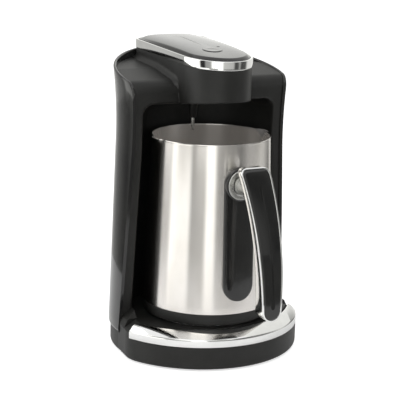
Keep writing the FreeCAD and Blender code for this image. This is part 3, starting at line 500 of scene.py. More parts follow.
class PotSettings(bpy.types.PropertyGroup):
    """Steel pot with its two pouring lips"""

    wall: length("Wall", "Thickness of the pot's wall", 0.001)
    lip_reach: length("Lip reach", "How far each pouring lip stands out", 0.0034)
    lip_drop: length("Lip drop", "Height of each pouring lip", 0.011)


class HandleSettings(bpy.types.PropertyGroup):
    """Grip, insert, neck and heat shield of the pot's handle"""

    insert_rim: length("Insert rim", "Width of bright frame left round the insert", 0.0013)
    insert_proud: length("Insert height", "How far the insert stands out of its frame", 0.0005)
    neck_radius: length("Neck radius", "Radius of the arm between pot and grip", 0.0066)


class StageSettings(bpy.types.PropertyGroup):
    """Camera, floor and lights"""

    camera_turn: angle("Camera turn", "Camera's angle round the machine", -27.5)
    camera_pitch: angle("Camera pitch", "Camera's angle above the horizon", 13.3)
    camera_roll: angle("Camera roll", "Camera's tilt about its own axis", 1.58)
    lens: bpy.props.FloatProperty(
        name="Lens", description="Focal length for a 36 mm sensor", default=126.8, unit="CAMERA")
    backdrop: bpy.props.FloatVectorProperty(
        name="Backdrop", description="Colour of the surroundings", default=(1.0, 1.0, 1.0), size=3,
        subtype="COLOR")


# Casing

WAIST = 150.0
WAIST_RADIUS = 63.3
WAIST_TAPER = 2.4
RIM = 216.0
RIM_AT_AXIS = 203.2
RIM_SLOPE = 0.2
RIM_STRETCH = sqrt(1.04)
SHELL_FOOT = 9.0
FOOT_CENTRE = -6.0
FOOT_RADIUS = 69.3
FRONT_AT_FOOT = -8.4
FRONT_AT_TOP = -13.7
FRONT_HEIGHT = 176.0
SHOULDER_LEVEL = 200.0
SEAM_INSET = 0.8


def shell_circle(height):
    """Centre and radius of the casing's plan circle at a height."""
    if height <= WAIST:
        share = (height - SHELL_FOOT) / (WAIST - SHELL_FOOT)
        return FOOT_CENTRE * (1 - share), mix(FOOT_RADIUS, WAIST_RADIUS, share)
    share = (height - WAIST) / (RIM - WAIST)
    rim = bpy.context.scene.maker_casing.rim_radius / MM
    return 0.0, WAIST_RADIUS - WAIST_TAPER * share + (rim - WAIST_RADIUS + WAIST_TAPER) * share * share


def front_plane(height):
    """Depth of the casing's leaning front at a height."""
    return mix(FRONT_AT_FOOT, FRONT_AT_TOP, (height - SHELL_FOOT) / FRONT_HEIGHT)


def rim_height(depth):
    """Height of the casing's rim, which rises towards the back up to the level top."""
    return min(RIM_AT_AXIS + RIM_SLOPE * depth, RIM)


def corner_places(corner):
    """Centre of the rounded top front corner, seen from the side."""
    depth = front_plane(SHOULDER_LEVEL) + corner
    return depth, rim_height(depth) - corner * RIM_STRETCH


def under_profile(depth, height, corner):
    """Whether a point lies inside the casing's side view, with its rounded top front corner."""
    middle_depth, middle_height = corner_places(corner)
    if height > rim_height(depth):
        return False
    if height > middle_height and depth < middle_depth:
        return hypot(depth - middle_depth, height - middle_height) < corner
    return True


def shell_point(share, height, inset, side):
    """Point of the shell: share runs from its front edge round to the middle of the back."""
    centre, radius = shell_circle(height)
    radius -= inset
    edge = acos((centre - front_plane(height)) / radius)
    turn = mix(edge, pi, share)
    return side * radius * sin(turn), centre - radius * cos(turn), height


def shell_top(share, corner):
    """Height at which the shell's wall meets the outline of the casing's side view."""
    low, high = 180.0, RIM
    for _ in range(40):
        middle = (low + high) / 2
        depth = shell_point(share, middle, 0.0, 1)[1]
        if under_profile(depth, middle, corner):
            low = middle
        else:
            high = middle
    return low


class MAKER_OT_shell(bpy.types.Operator):
    """Glossy wall round the sides and the back, with a rolled rim and rounded lower edge"""

    bl_idname = "maker.shell"
    bl_label = "Side Shell"

    def execute(self, context):
        settings = context.scene.maker_casing
        bottom = settings.shell_bottom / MM
        wall = settings.shell_wall / MM
        corner = settings.corner_round / MM
        lip = wall / 2
        shares = [0.0, 0.003, 0.008, 0.015, 0.024, 0.034, 0.045, 0.057, 0.07, 0.085, 0.105, 0.13]
        shares += [0.16 + 0.84 * k / 34 for k in range(35)]
        walls = []
        for side, order in ((1, shares), (-1, shares[-2::-1])):
            for share in order:
                top = shell_top(share, corner)
                heights = [mix(bottom + 3.0, top - lip, k / 28) for k in range(29)]
                section = [(1.8, bottom), (0.9, bottom + 0.5), (0.25, bottom + 1.5)]
                section += [(0.0, z) for z in heights]
                section += [(lip * (1 - cos(radians(a))), top - lip + lip * sin(radians(a)))
                            for a in (30, 60, 90, 120, 150)]
                section += [(wall, z) for z in reversed(heights)]
                section += [(wall, bottom + 1.5), (wall, bottom + 0.5), (wall, bottom)]
                walls.append([shell_point(share, z, inset, side) for inset, z in section])
        points, faces = skin(walls)
        count = len(walls[0])
        half = count // 2
        for start in (0, len(points) - count):
            for k in range(half - 1):
                faces.append((start + k, start + k + 1, start + count - 2 - k, start + count - 1 - k))
        mesh_piece("shell_wrap", (points, faces), "machine", "gloss_black", ("side_shell",), 50.0)
        return {"FINISHED"}


# Head

NOSE_Y = -48.0
NOSE_CENTRE = -17.0
NOSE_HALF_WIDTH = 25.7
HEAD_POINTS = 168
HEAD_INNER = 2.4
HEAD_TOP = 220.3
HEAD_SLOPE = 0.05
HEAD_LINE = []


def head_line():
    """Plan of the head, anticlockwise from the middle of its nose."""
    if not HEAD_LINE:
        nose = arc(0.0, NOSE_CENTRE, NOSE_HALF_WIDTH, -90, 0, 40, NOSE_CENTRE - NOSE_Y)
        corner = arc(23.2, 52.6, 6.0, 3, 70, 12)
        rear = [(x, 64.0 - 6.0 * (x / 29.4) ** 2) for x in (22.0, 17.0, 12.0, 6.0, 0.0)]
        HEAD_LINE.extend(mirrored(nose + corner + rear, HEAD_POINTS))
    return HEAD_LINE


def head_plane(depth):
    """Height of the sloping plane that the head's wall and band end at."""
    return HEAD_TOP + HEAD_SLOPE * depth


def band_foot(depth):
    return head_plane(depth) - bpy.context.scene.maker_head.band_height / MM


def shoulder_height(depth):
    """Top of the front casing under the head's wall, or the head's own underside in front of it."""
    front = front_plane(SHOULDER_LEVEL) + SEAM_INSET
    if depth < front:
        return mix(184.0, 188.5, (front - depth) / (front - NOSE_Y))
    corner = 10.0 - SEAM_INSET
    middle = front + corner
    centre = rim_height(middle) - SEAM_INSET - corner * RIM_STRETCH
    if depth < middle - corner * 0.196:
        return centre + sqrt(max(corner ** 2 - (depth - middle) ** 2, 0.0))
    return min(rim_height(depth) - SEAM_INSET, 204.6 + 0.08 * depth)


class MAKER_OT_head(bpy.types.Operator):
    """Upright wall of the head, blended into the shoulder by a small fillet"""

    bl_idname = "maker.head"
    bl_label = "Head Wall"

    def execute(self, context):
        flare = context.scene.maker_head.foot_flare / MM
        outline = head_line()
        wide = [ease((v + 16.0) / 6.0) for u, v in outline]
        loops = []
        for drop in (0.0, 0.06, 0.2, 0.4, 0.6, 0.8, 0.92):
            loops.append([(u, v, mix(band_foot(v), shoulder_height(v) + 4.0 * w, drop))
                          for (u, v), w in zip(outline, wide)])
        for out, up in ((0.0, 3.4), (0.12, 2.2), (0.4, 1.2), (0.75, 0.5), (1.15, -0.1)):
            moved = [drawn_in(outline, inset) for inset in (-flare * out, 1.6 * out ** 2)]
            loop = []
            for k, w in enumerate(wide):
                u = mix(moved[1][k][0], moved[0][k][0], w)
                v = mix(moved[1][k][1], moved[0][k][1], w)
                foot = shoulder_height(v if w > 0.5 else outline[k][1])
                loop.append((u, v, foot + up * mix(0.35, 1.0, w)))
            loops.append(loop)
        inner = drawn_in(outline, HEAD_INNER)
        loops.append([(u, v, shoulder_height(v) + 0.1 - 1.0 * w) for (u, v), w in zip(inner, wide)])
        loops.append([(u, v, band_foot(v)) for u, v in inner])
        mesh_piece("head_wall", skin(loops, joined=True), "machine", "satin_black", ("head_housing",), 60.0)
        return {"FINISHED"}


class MAKER_OT_band(bpy.types.Operator):
    """Bright band round the top of the head, with rounded edges"""

    bl_idname = "maker.band"
    bl_label = "Chrome Band"

    def execute(self, context):
        height = context.scene.maker_head.band_height / MM
        section = [(1.2, -height), (0.2, -height), (-0.2, -height + 0.08), (-0.42, -height + 0.3),
                   (-0.5, -height + 0.7), (-0.5, -height / 2), (-0.5, -0.7), (-0.42, -0.3), (-0.2, -0.08),
                   (0.1, 0.0), (0.9, 0.0), (1.15, -0.15), (1.3, -0.5), (1.3, -height / 2)]
        loops = []
        for inset, offset in section:
            loops.append([(u, v, head_plane(v) + offset) for u, v in drawn_in(head_line(), inset)])
        mesh_piece("band", skin(loops, joined=True), "machine", "chrome", ("chrome_band",), 60.0)
        return {"FINISHED"}


SIDE_DROP = 2.4
DOME_HALF_WIDTH = 27.0
DOME_MIDDLE = 8.0
DOME_LENGTHWISE = 1800.0


def dome(u, v):
    """Height of the domed top at a place in the plan."""
    rise = bpy.context.scene.maker_head.dome_rise / MM
    crown = head_plane(v) + rise - SIDE_DROP * (u / DOME_HALF_WIDTH) ** 4
    return crown - (v - DOME_MIDDLE) ** 2 / DOME_LENGTHWISE


BUTTON_X = -2.0
BUTTON_DEPTH = -17.0
LIGHT_X = 8.5
LIGHT_DEPTH = -6.0


class MAKER_OT_top_plate(bpy.types.Operator):
    """Glossy pillow-shaped plate with a softly rounded edge and the button's well"""

    bl_idname = "maker.top_plate"
    bl_label = "Top Plate"

    def execute(self, context):
        outline = drawn_in(head_line(), 1.5)
        loops = []
        for inset, offset in ((0.0, -2.4), (0.0, -0.7), (0.1, -0.3), (0.35, 0.0)):
            loops.append([(u, v, head_plane(v) + offset) for u, v in drawn_in(outline, inset)])
        edge = drawn_in(outline, 0.7)
        for share in (1.0, 0.99, 0.98, 0.965, 0.95, 0.93, 0.9, 0.86, 0.8, 0.7, 0.58, 0.45, 0.32, 0.19, 0.08):
            keep = min((1.0 - share) / 0.07, 1.0) ** 0.7
            loop = []
            for u, v in towards(edge, NOSE_CENTRE, 44.0, share):
                flat = head_plane(v) + 0.15
                loop.append((u, v, mix(flat, max(dome(u, v), flat), keep)))
            loops.append(loop)
        plate = mesh_piece("top_lid", capped(loops), "machine", "gloss_black", ("top_plate",), 40.0)
        radius = context.scene.maker_head.button_radius / MM + 0.25
        for x, y, hole in ((BUTTON_X, BUTTON_DEPTH, radius), (LIGHT_X, LIGHT_DEPTH, 1.2)):
            bore(plate, x, y, hole)
        smooth_faces(plate.data, 40.0)
        return {"FINISHED"}


def bore(piece, x, y, radius):
    """Upright round hole through a piece."""
    cutter = placed("bore", mesh_of("bore", turned([(radius, 200.0), (radius, 240.0)], x, y, 64)))
    smooth_faces(cutter.data, 30.0)
    cut = piece.modifiers.new("bore", "BOOLEAN")
    cut.operation = "DIFFERENCE"
    cut.solver = "EXACT"
    cut.object = cutter
    bpy.context.view_layer.update()
    shaped = piece.evaluated_get(bpy.context.evaluated_depsgraph_get())
    result = bpy.data.meshes.new_from_object(shaped)
    piece.modifiers.remove(cut)
    piece.data = result
    bpy.data.objects.remove(cutter)


def stem_height(offset):
    """Height at the button's middle, from the head's sloping plane."""
    return head_plane(BUTTON_DEPTH) + offset


class MAKER_OT_button(bpy.types.Operator):
    """Start button with a rounded edge, following the dome of the top, on its round stem"""

    bl_idname = "maker.button"
    bl_label = "Start Button"

    def execute(self, context):
        radius = context.scene.maker_head.button_radius / MM
        ring = arc(0.0, 0.0, 1.0, 0, 360, 63)[:-1]
        loops = []
        for stem, offset in ((2.1, -9.4), (2.4, -9.1), (2.4, -1.6), (3.2, -1.45)):
            height = stem_height(offset)
            loops.append([(BUTTON_X + u * stem, BUTTON_DEPTH + v * stem, height) for u, v in ring])
        rows = ((0.98, -4.2), (1.0, -4.0), (1.0, -0.1), (0.975, 0.2), (0.93, 0.38), (0.86, 0.46),
                (0.7, 0.42), (0.5, 0.34), (0.3, 0.28), (0.1, 0.25))
        for out, rise in rows:
            loop = []
            for u, v in ring:
                x = BUTTON_X + u * radius * out
                y = BUTTON_DEPTH + v * radius * out
                loop.append((x, y, dome(x, y) + rise))
            loops.append(loop)
        mesh_piece("button_cap", capped(loops), "button", "gloss_black", ("start_button",), 50.0)
        return {"FINISHED"}


PROBE_X = -10.2
PROBE_DEPTH = -5.0


class MAKER_OT_probe(bpy.types.Operator):
    """Tapered nozzle under the bay's ceiling and the steel rod in it"""

    bl_idname = "maker.probe"
    bl_label = "Probe"

    def execute(self, context):
        profile = [(2.0, 172.0), (2.25, 172.1), (2.45, 172.5), (3.5, 183.0), (3.8, 183.8), (4.4, 184.3),
                   (4.4, 185.6)]
        nozzle = turned(profile, PROBE_X, PROBE_DEPTH, 48)
        mesh_piece("probe_nozzle", nozzle, "machine", "satin_black", ("probe_boss",))
        tip = [(1.2 * sin(radians(a)), 163.8 - 1.2 * cos(radians(a))) for a in (8, 30, 50, 70, 90)]
        rod = turned(tip + [(1.2, 189.0), (1.0, 190.0)], PROBE_X, PROBE_DEPTH, 32)
        mesh_piece("probe_pin", rod, "machine", "plate_steel", ("probe_rod",))
        return {"FINISHED"}


# Base

BASE_RADIUS = 75.0
CRESCENT_RADIUS = 76.0
CRESCENT_SHIFT = 14.0
CRESCENT_END = 27.5
CRESCENT_END_ROUND = 1.2
CRESCENT_STEPS = 120


class MAKER_OT_crescent(bpy.types.Operator):
    """Bright crescent round the front of the base: an upright band rolled over into a dished top"""

    bl_idname = "maker.crescent"
    bl_label = "Chrome Crescent"

    def execute(self, context):
        low, high = 24.2, 28.0
        upright = ((-1.5, 18.0), (-0.3, 18.0), (0.0, 18.35), (0.0, 21.0), (0.0, 22.9), (-0.12, 23.5),
                   (-0.45, 23.95), (-0.9, low))
        section = [(BASE_RADIUS, 0.0, grow, height) for grow, height in upright]
        for share in (0.06, 0.14, 0.3, 0.5, 0.7, 0.9, 1.0):
            rise = 1 - (1 - share) ** 1.35
            section.append((mix(BASE_RADIUS, CRESCENT_RADIUS, share), CRESCENT_SHIFT * share,
                            mix(-0.9, 0.0, share), mix(low, high, rise)))
        section += [(CRESCENT_RADIUS, CRESCENT_SHIFT, grow, height)
                    for grow, height in ((-0.25, 27.9), (-0.4, 27.4), (-1.4, 26.4))]
        section.append((BASE_RADIUS, 0.0, -1.5, 22.4))
        loops = []
        for radius, centre, grow, height in section:
            reach = radius + grow
            outer = 1.0 - centre / CRESCENT_SHIFT
            loop = []
            for k in range(CRESCENT_STEPS + 1):
                share = 2.0 * k / CRESCENT_STEPS - 1.0
                ended = max((abs(share) - 0.93) / 0.07, 0.0)
                cut = CRESCENT_END + CRESCENT_END_ROUND * outer * ended ** 2
                t = share * acos((centre + cut) / reach)
                loop.append((reach * sin(t), centre - reach * cos(t), height))
            loops.append(loop)
        points, faces = skin(loops, closed=False, joined=True)
        columns = CRESCENT_STEPS + 1
        for column in (0, CRESCENT_STEPS):
            faces.append(tuple(row * columns + column for row in range(len(section))))
        mesh_piece("crescent", (points, faces), "machine", "chrome", ("chrome_ring",), 50.0)
        return {"FINISHED"}


# Pot

POT_RIM = 161.0
POT_FOOT = 38.0
POT_RIM_RADIUS = 43.4
POT_FOOT_RADIUS = 47.3
POT_UNDERSIDE = 33.0
POT_FLOOR = 34.5
POT_STEPS = 240
LIP_CONE = 9.0
LIP_BLEND = 0.5
LIP_MARGIN = 3


def pot_radius(height):
    return mix(POT_FOOT_RADIUS, POT_RIM_RADIUS, (height - POT_FOOT) / (POT_RIM - POT_FOOT))


def lip_radius(turn, height, wall, settings):
    """Radius of the pot's wall, pushed out where one of the two pouring lips is."""
    radius = pot_radius(height) - wall
    drop = settings.lip_drop / MM
    above = height - POT_RIM + drop
    if above <= 0.0:
        return radius
    cone = LIP_CONE * above / drop - wall * 0.4
    off = POT_RIM_RADIUS - LIP_CONE + settings.lip_reach / MM
    side = abs(sin(turn)) * off
    if cone <= side:
        return radius
    lip = off * abs(cos(turn)) + sqrt(cone * cone - side * side)
    if lip <= radius - LIP_MARGIN:
        return radius
    return radius + 0.5 * (lip - radius + sqrt((lip - radius) ** 2 + LIP_BLEND))


class MAKER_OT_pot(bpy.types.Operator):
    """Open steel pot with a pouring lip on each side, a thin rolled rim and a rounded floor"""

    bl_idname = "maker.pot"
    bl_label = "Pot"

    def execute(self, context):
        settings = context.scene.maker_pot
        wall = settings.wall / MM
        turns = [2 * pi * k / POT_STEPS for k in range(POT_STEPS)]
        rows = [(44.7, POT_UNDERSIDE, 0.0), (44.7, 37.7, 0.0), (46.7, 37.9, 0.0), (47.2, 38.2, 0.0)]
        rows += [(0.0, mix(39.0, 150.0, k / 24), 0.0) for k in range(25)]
        rows += [(0.0, 151.0 + 0.75 * k, 0.0) for k in range(13)]
        rows += [(0.0, 160.5, -0.15), (0.0, 160.85, 0.0), (0.0, POT_RIM, 0.4), (0.0, 160.9, 0.8),
                 (0.0, 160.6, wall)]
        rows += [(0.0, 160.0 - 0.75 * k, wall) for k in range(13)]
        rows += [(0.0, mix(150.0, 42.0, k / 14), wall) for k in range(15)]
        rows += [(45.4, 39.0, 0.0), (44.0, 36.4, 0.0), (42.0, 35.0, 0.0), (39.0, POT_FLOOR, 0.0),
                 (20.0, POT_FLOOR, 0.0), (2.0, POT_FLOOR, 0.0)]
        loops = [[(0.001 * cos(t), POT_Y + 0.001 * sin(t), POT_UNDERSIDE) for t in turns]]
        for fixed, height, inset in rows:
            loop = []
            for t in turns:
                radius = fixed or lip_radius(t, height, inset, settings)
                loop.append((radius * cos(t), POT_Y + radius * sin(t), height))
            loops.append(loop)
        mesh_piece("pot_shell", capped(loops), "pot", "pot_steel", ("pot_body",), 40.0)
        profile = [(44.9, 29.9), (45.6, 29.9), (46.1, 30.2), (46.3, 30.8), (46.9, 36.8), (46.9, 37.4),
                   (46.6, 37.8), (45.8, 37.95), (44.9, 37.95)]
        ring = turned(profile, 0.0, POT_Y, 128, closed=True)
        mesh_piece("pot_foot_ring", ring, "pot", "satin_black", ("pot_cap",))
        return {"FINISHED"}


# Handle

NECK_Z = 133.0
GRIP_FRONT = -112.3
GRIP_BACK = -100.8
OUTER_CURVE = 155.0
OUTER_CURVE_HEIGHT = 55.0
INNER_CURVE = 130.0
INNER_CURVE_HEIGHT = 70.0
GRIP_SPINE = (58.0, 139.0)
GRIP_POINTS = 132
GRIP_LINE = []


def grip_line():
    """Outline of the grip seen from the front, anticlockwise from its lowest point."""
    if not GRIP_LINE:
        foot = arc(0.0, 54.4, 7.4, -90, 0, 14)
        GRIP_LINE.extend(mirrored(foot + arc(6.9, 144.5, 4.5, 0, 90, 10) + [(3.0, 149.0), (0.0, 149.0)],
                                  GRIP_POINTS))
    return GRIP_LINE


def grip_outer(height):
    """Depth of the grip's outward face."""
    return GRIP_FRONT + OUTER_CURVE - sqrt(OUTER_CURVE ** 2 - (height - OUTER_CURVE_HEIGHT) ** 2)


def grip_inner(height):
    """Depth of the grip's face towards the pot."""
    return GRIP_BACK + INNER_CURVE - sqrt(INNER_CURVE ** 2 - (height - INNER_CURVE_HEIGHT) ** 2)


def grip_loops(face, rows):
    """Loops along the grip's outline at (inset, depth) rows from one of its faces."""
    return [[(u, face(v) + depth, v) for u, v in drawn_in(grip_line(), inset)] for inset, depth in rows]


def face_loops(edge, shares, depth_at):
    """Loops that fill a face from its edge towards its upright middle."""
    return [[(u, depth_at(u, v, share), v) for u, v in towards(edge, *GRIP_SPINE, share)] for share in shares]


FACE_SHARES = (0.94, 0.84, 0.7, 0.5, 0.3, 0.1)


class MAKER_OT_grip(bpy.types.Operator):
    """Bright grip with rounded edges, and the glossy insert in the pocket of its outward face"""

    bl_idname = "maker.grip"
    bl_label = "Grip"

    def execute(self, context):
        settings = context.scene.maker_handle
        rim = settings.insert_rim / MM
        proud = settings.insert_proud / MM
        floor = drawn_in(grip_line(), rim)
        loops = face_loops(floor, FACE_SHARES, lambda u, v, s: grip_outer(v) + 2.1)[::-1]
        loops += grip_loops(grip_outer, ((rim, 2.1), (rim, 0.4), (rim - 0.12, 0.1), (rim - 0.4, 0.0),
                                         (0.4, 0.02), (0.12, 0.2), (0.0, 0.6), (0.0, 1.6)))
        loops += grip_loops(grip_inner, ((0.0, -1.9), (0.1, -1.1), (0.4, -0.5), (0.9, -0.15), (1.7, 0.0)))
        loops += face_loops(drawn_in(grip_line(), 1.7), FACE_SHARES, lambda u, v, s: grip_inner(v))
        mesh_piece("grip_frame", capped(loops), "pot", "chrome", ("handle_frame",), 60.0)
        rim += 0.06
        floor = drawn_in(grip_line(), rim)
        loops = face_loops(floor, FACE_SHARES, lambda u, v, s: grip_outer(v) + 2.0)[::-1]
        loops += grip_loops(grip_outer, ((rim, 2.0), (rim, 0.3), (rim + 0.1, -proud * 0.3),
                                         (rim + 0.4, -proud * 0.75), (rim + 1.0, -proud)))
        edge = drawn_in(grip_line(), rim + 1.0)
        loops += face_loops(edge, FACE_SHARES, lambda u, v, s: grip_outer(v) - proud - 0.25 * (1 - s * s))
        mesh_piece("grip_insert", capped(loops), "pot", "gloss_black", ("handle_insert",), 50.0)
        return {"FINISHED"}


SHIELD_FOOT = 60.0
SHIELD_HALF = 12.0
SHIELD_SPINE = (62.0, 131.0)


class MAKER_OT_handle_mount(bpy.types.Operator):
    """Heat shield on the pot, round collar, bright ring and metal neck of the handle"""

    bl_idname = "maker.handle_mount"
    bl_label = "Handle Mount"

    def execute(self, context):
        right = arc(0.0, SHIELD_FOOT, SHIELD_HALF, -90, 0, 16) + arc(0.0, NECK_Z, SHIELD_HALF, 0, 90, 16)
        outline = mirrored(right, 128)
        edge = drawn_in(outline, 1.1)
        shapes = [(towards(outline, *SHIELD_SPINE, share), 0.02) for share in (0.1, 0.4, 0.7, 0.9)]
        shapes += [(drawn_in(outline, inset), lift)
                   for inset, lift in ((0.0, 0.02), (0.0, 2.1), (0.15, 2.6), (0.5, 2.9), (1.1, 3.0))]
        shapes += [(towards(edge, *SHIELD_SPINE, share), 3.0) for share in FACE_SHARES]
        loops = []
        for line, lift in shapes:
            loop = []
            for u, v in line:
                radius = pot_radius(v) + lift
                turn = u / (pot_radius(v) + 1.5)
                loop.append((radius * sin(turn), POT_Y - radius * cos(turn), v))
            loops.append(loop)
        mesh_piece("heat_shield", capped(loops), "pot", "gloss_black", ("handle_strip",), 60.0)

        collar = [(11.9, -60.4), (11.95, -62.6), (11.8, -63.0), (11.4, -63.3), (10.9, -63.45), (6.8, -63.45)]
        mesh_piece("round_collar", turned_forward(collar, NECK_Z), "pot", "gloss_black", ("handle_collar",))
        profile = [(10.6, -63.4), (10.65, -63.8), (10.4, -64.1), (10.0, -64.25), (9.2, -64.1), (8.4, -63.9),
                   (7.6, -64.1), (7.0, -64.2), (6.7, -63.4)]
        ring = turned_forward(profile, NECK_Z, closed=True)
        mesh_piece("bright_ring", ring, "pot", "plate_steel", ("collar_ring",))

        neck = context.scene.maker_handle.neck_radius / MM
        turns = [radians(a) for a in range(0, 360, 5)]
        rows = ((neck, -63.5), (neck, -66.0), (neck - 0.2, -69.0), (neck - 0.3, -73.0), (neck - 0.2, -77.0))
        loops = [[(r * cos(t), y, NECK_Z + r * sin(t)) for t in turns] for r, y in rows]
        for r, gap in ((neck, 3.0), (neck + 0.4, 1.2), (neck + 0.9, 0.2), (neck + 0.9, -1.0)):
            heights = [NECK_Z + r * sin(t) for t in turns]
            loops.append([(r * cos(t), grip_inner(z) + gap, z) for t, z in zip(turns, heights)])
        mesh_piece("neck_arm", capped(loops), "pot", "plate_steel", ("handle_neck",))
        return {"FINISHED"}


# Finishes of the carried-over pieces

class MAKER_OT_cad_finishes(bpy.types.Operator):
    """Gives each carried-over piece the finish of its material slot"""

    bl_idname = "maker.cad_finishes"
    bl_label = "Finishes of Carried-over Pieces"

    def execute(self, context):
        slots = {row["node"]: row["material_slot"] for row in frame["record"]["subparts"]}
        for name, node in frame["nodes"].items():
            node.data.materials.clear()
            node.data.materials.append(material_of(slots[name]))
        return {"FINISHED"}


# Stage

def area_lamp(name, place_at, target, size, watts):
    """Soft rectangular light that faces its target."""
    light = bpy.data.lights.new(name, "AREA")
    light.shape = "RECTANGLE"
    light.size, light.size_y = size
    light.energy = watts
    lamp = placed(name, light)
    lamp.location = place_at
    lamp.rotation_mode = "QUATERNION"
    lamp.rotation_quaternion = (Vector(target) - Vector(place_at)).to_track_quat("-Z", "Y")


PANEL_RADIUS = 0.3
PANEL_SEAM = 0.135
LOW_PANELS = (
    (-180, 1.3), (-158, 1.0), (-140, 0.5), (-118, 0.25), (-106, 0.08), (-100, 0.3), (-84, 0.4), (-75, 0.4),
    (-71, 1.45), (-37, 1.5), (-32, 0.4), (-14, 0.35), (-9, 0.4), (-5, 1.5), (8, 1.45), (12, 0.35), (40, 0.15),
    (70, 0.25), (84, 0.45), (104, 0.7), (122, 0.4), (136, 0.15), (150, 0.8), (180, 1.3),
)
HIGH_PANELS = (
    (-180, 1.3), (-160, 1.0), (-135, 0.6), (-117, 0.5), (-113, 0.3), (-109, 1.6), (-64, 1.6), (-58, 0.03),
    (-48, 0.03), (-43, 0.35), (-30, 0.4), (-22, 1.5), (6, 1.5), (12, 0.6), (46, 0.5), (54, 0.06), (66, 0.1),
    (72, 0.4), (80, 0.06), (100, 0.1), (112, 0.8), (160, 0.9), (180, 1.3),
)


def panel_ring(name, low, high, steps):
    """Round screen of light and dark panels that only polished surfaces see.

    Angles are in degrees from the camera's side of the machine, to its left where negative.
    """
    turns = [radians(a) for a in range(-180, 180, 2)]
    points, faces = skin([[(PANEL_RADIUS * sin(t), -PANEL_RADIUS * cos(t), z) for t in turns]
                          for z in (low, high)])
    mesh = bpy.data.meshes.new(name)
    mesh.from_pydata(points, [], faces)
    material = bpy.data.materials.new(name)
    material.use_nodes = True
    tree = material.node_tree
    tree.nodes.clear()
    turn, _ = angle_and_height(tree, "MULTIPLY", -1.0)
    ramp = add(tree, "ValToRGB")
    stops = ramp.color_ramp.elements
    for side, _ in steps[1:-1]:
        stops.new((side + 180) / 360)
    for stop, (side, level) in zip(stops, steps):
        stop.position = (side + 180) / 360
        stop.color = (level, level, level * 0.97, 1.0)
    glow = add(tree, "Emission")
    output = add(tree, "OutputMaterial")
    tree.links.new(spread(tree, turn, 0.0, 1.0, -pi, pi), ramp.inputs["Fac"])
    tree.links.new(ramp.outputs["Color"], glow.inputs["Color"])
    tree.links.new(glow.outputs["Emission"], output.inputs["Surface"])
    mesh.materials.append(material)
    ring = placed(name, mesh)
    for ray in ("camera", "diffuse", "shadow", "transmission", "volume_scatter"):
        setattr(ring, f"visible_{ray}", False)
    return ring


def floor_finish():
    """Pale floor, which the camera sees as nearly white."""
    material, tree, surface = shader("pale_floor", (0.92, 0.92, 0.92), 0.6)
    fill(surface, {"Specular IOR Level": 0.1, "Emission Color": (1.0, 1.0, 1.0, 1.0)})
    seen = add(tree, "LightPath").outputs["Is Camera Ray"]
    tree.links.new(spread(tree, seen, 0.1, 0.62), surface.inputs["Emission Strength"])
    return material


CAMERA_PLACE = (-0.4712, BASE_Y - 0.9056, 0.3495)
FLOOR_REACH = 6.0
SURROUND_STRENGTH = 0.5


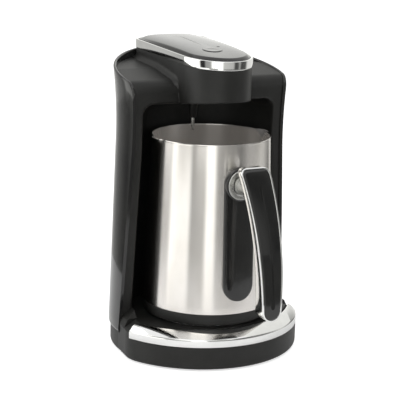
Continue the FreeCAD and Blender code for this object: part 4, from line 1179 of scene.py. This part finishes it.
class MAKER_OT_stage(bpy.types.Operator):
    """Camera at the photograph's angle, pale floor, white surroundings and soft lights"""

    bl_idname = "maker.stage"
    bl_label = "Stage"

    def execute(self, context):
        scene = context.scene
        settings = scene.maker_stage
        turn, pitch, roll = settings.camera_turn, settings.camera_pitch, settings.camera_roll
        back = Vector((sin(turn) * cos(pitch), -cos(turn) * cos(pitch), sin(pitch)))
        right = Vector((cos(turn), sin(turn), 0.0))
        up = back.cross(right)
        side = right * cos(roll) + up * sin(roll)
        top = up * cos(roll) - right * sin(roll)
        camera = placed("camera", bpy.data.cameras.new("camera"))
        camera.data.sensor_width = 36.0
        camera.data.lens = settings.lens
        camera.data.clip_start = 0.05
        camera.data.clip_end = 20.0
        facing = Matrix((side, top, back)).transposed().to_4x4()
        camera.matrix_world = Matrix.Translation(CAMERA_PLACE) @ facing
        scene.camera = camera

        floor_mesh = bpy.data.meshes.new("floor")
        corners = [(x * FLOOR_REACH, y * FLOOR_REACH, 0.0) for x, y in ((-1, -1), (1, -1), (1, 1), (-1, 1))]
        floor_mesh.from_pydata(corners, [], [(0, 1, 2, 3)])
        floor_mesh.materials.append(floor_finish())
        placed("floor", floor_mesh)

        world = bpy.data.worlds.new("white_room")
        world.use_nodes = True
        tree = world.node_tree
        tree.nodes.clear()
        light_path = add(tree, "LightPath")
        seen = light_path.outputs["Is Camera Ray"]
        for kind in ("Is Glossy Ray", "Is Transmission Ray"):
            seen = operation(tree, MATHS, "MAXIMUM", seen, light_path.outputs[kind]).outputs["Value"]
        chosen = add(tree, "MixShader")
        output = add(tree, "OutputWorld")
        tree.links.new(seen, chosen.inputs["Fac"])
        sides = (((1.0, 1.0, 1.0), SURROUND_STRENGTH), (settings.backdrop, 1.0))
        for side_input, (colour, strength) in zip(chosen.inputs[1:], sides):
            glow = add(tree, "Background", {"Color": (*colour, 1.0), "Strength": strength})
            tree.links.new(glow.outputs["Background"], side_input)
        tree.links.new(chosen.outputs["Shader"], output.inputs["Surface"])
        scene.world = world

        middle = (0.0, 0.0, 0.11)
        area_lamp("side_light", (-1.1, 0.55, 0.45), middle, (0.7, 1.0), 9.0)
        area_lamp("key_light", (-0.7, -1.1, 1.2), middle, (0.9, 0.9), 9.0)
        area_lamp("fill_light", (1.0, -0.8, 0.6), middle, (0.6, 0.9), 4.0)
        panel_ring("low_panels", -0.05, PANEL_SEAM, LOW_PANELS).rotation_euler.z = turn
        panel_ring("high_panels", PANEL_SEAM, 0.5, HIGH_PANELS).rotation_euler.z = turn
        scene.view_settings.view_transform = "Standard"
        return {"FINISHED"}


class MAKER_PT_panel(bpy.types.Panel):
    """Lists the pieces and their settings"""

    bl_label = "Coffee Maker"
    bl_idname = "MAKER_PT_panel"
    bl_space_type = "VIEW_3D"
    bl_region_type = "UI"
    bl_category = "Coffee Maker"

    def draw(self, context):
        layout = self.layout
        scene = context.scene
        for group, settings in GROUPS.items():
            box = layout.box()
            for name in settings.__annotations__:
                box.prop(getattr(scene, group), name)
        for operator in STEPS:
            layout.operator(operator.bl_idname)


GROUPS = {
    "maker_casing": CasingSettings, "maker_head": HeadSettings, "maker_pot": PotSettings,
    "maker_handle": HandleSettings, "maker_stage": StageSettings,
}
STEPS = (
    MAKER_OT_stage, MAKER_OT_cad_finishes, MAKER_OT_shell, MAKER_OT_head, MAKER_OT_band, MAKER_OT_top_plate,
    MAKER_OT_button, MAKER_OT_probe, MAKER_OT_crescent, MAKER_OT_pot, MAKER_OT_grip, MAKER_OT_handle_mount,
)


def register():
    for name, group in GROUPS.items():
        bpy.utils.register_class(group)
        setattr(bpy.types.Scene, name, bpy.props.PointerProperty(type=group))
    for operator in STEPS:
        bpy.utils.register_class(operator)
    bpy.utils.register_class(MAKER_PT_panel)


def unregister():
    bpy.utils.unregister_class(MAKER_PT_panel)
    for operator in reversed(STEPS):
        bpy.utils.unregister_class(operator)
    for name, group in GROUPS.items():
        delattr(bpy.types.Scene, name)
        bpy.utils.unregister_class(group)


def main():
    register()
    for operator in STEPS:
        group, name = operator.bl_idname.split(".")
        getattr(getattr(bpy.ops, group), name)()


if __name__ == "__main__":
    main()
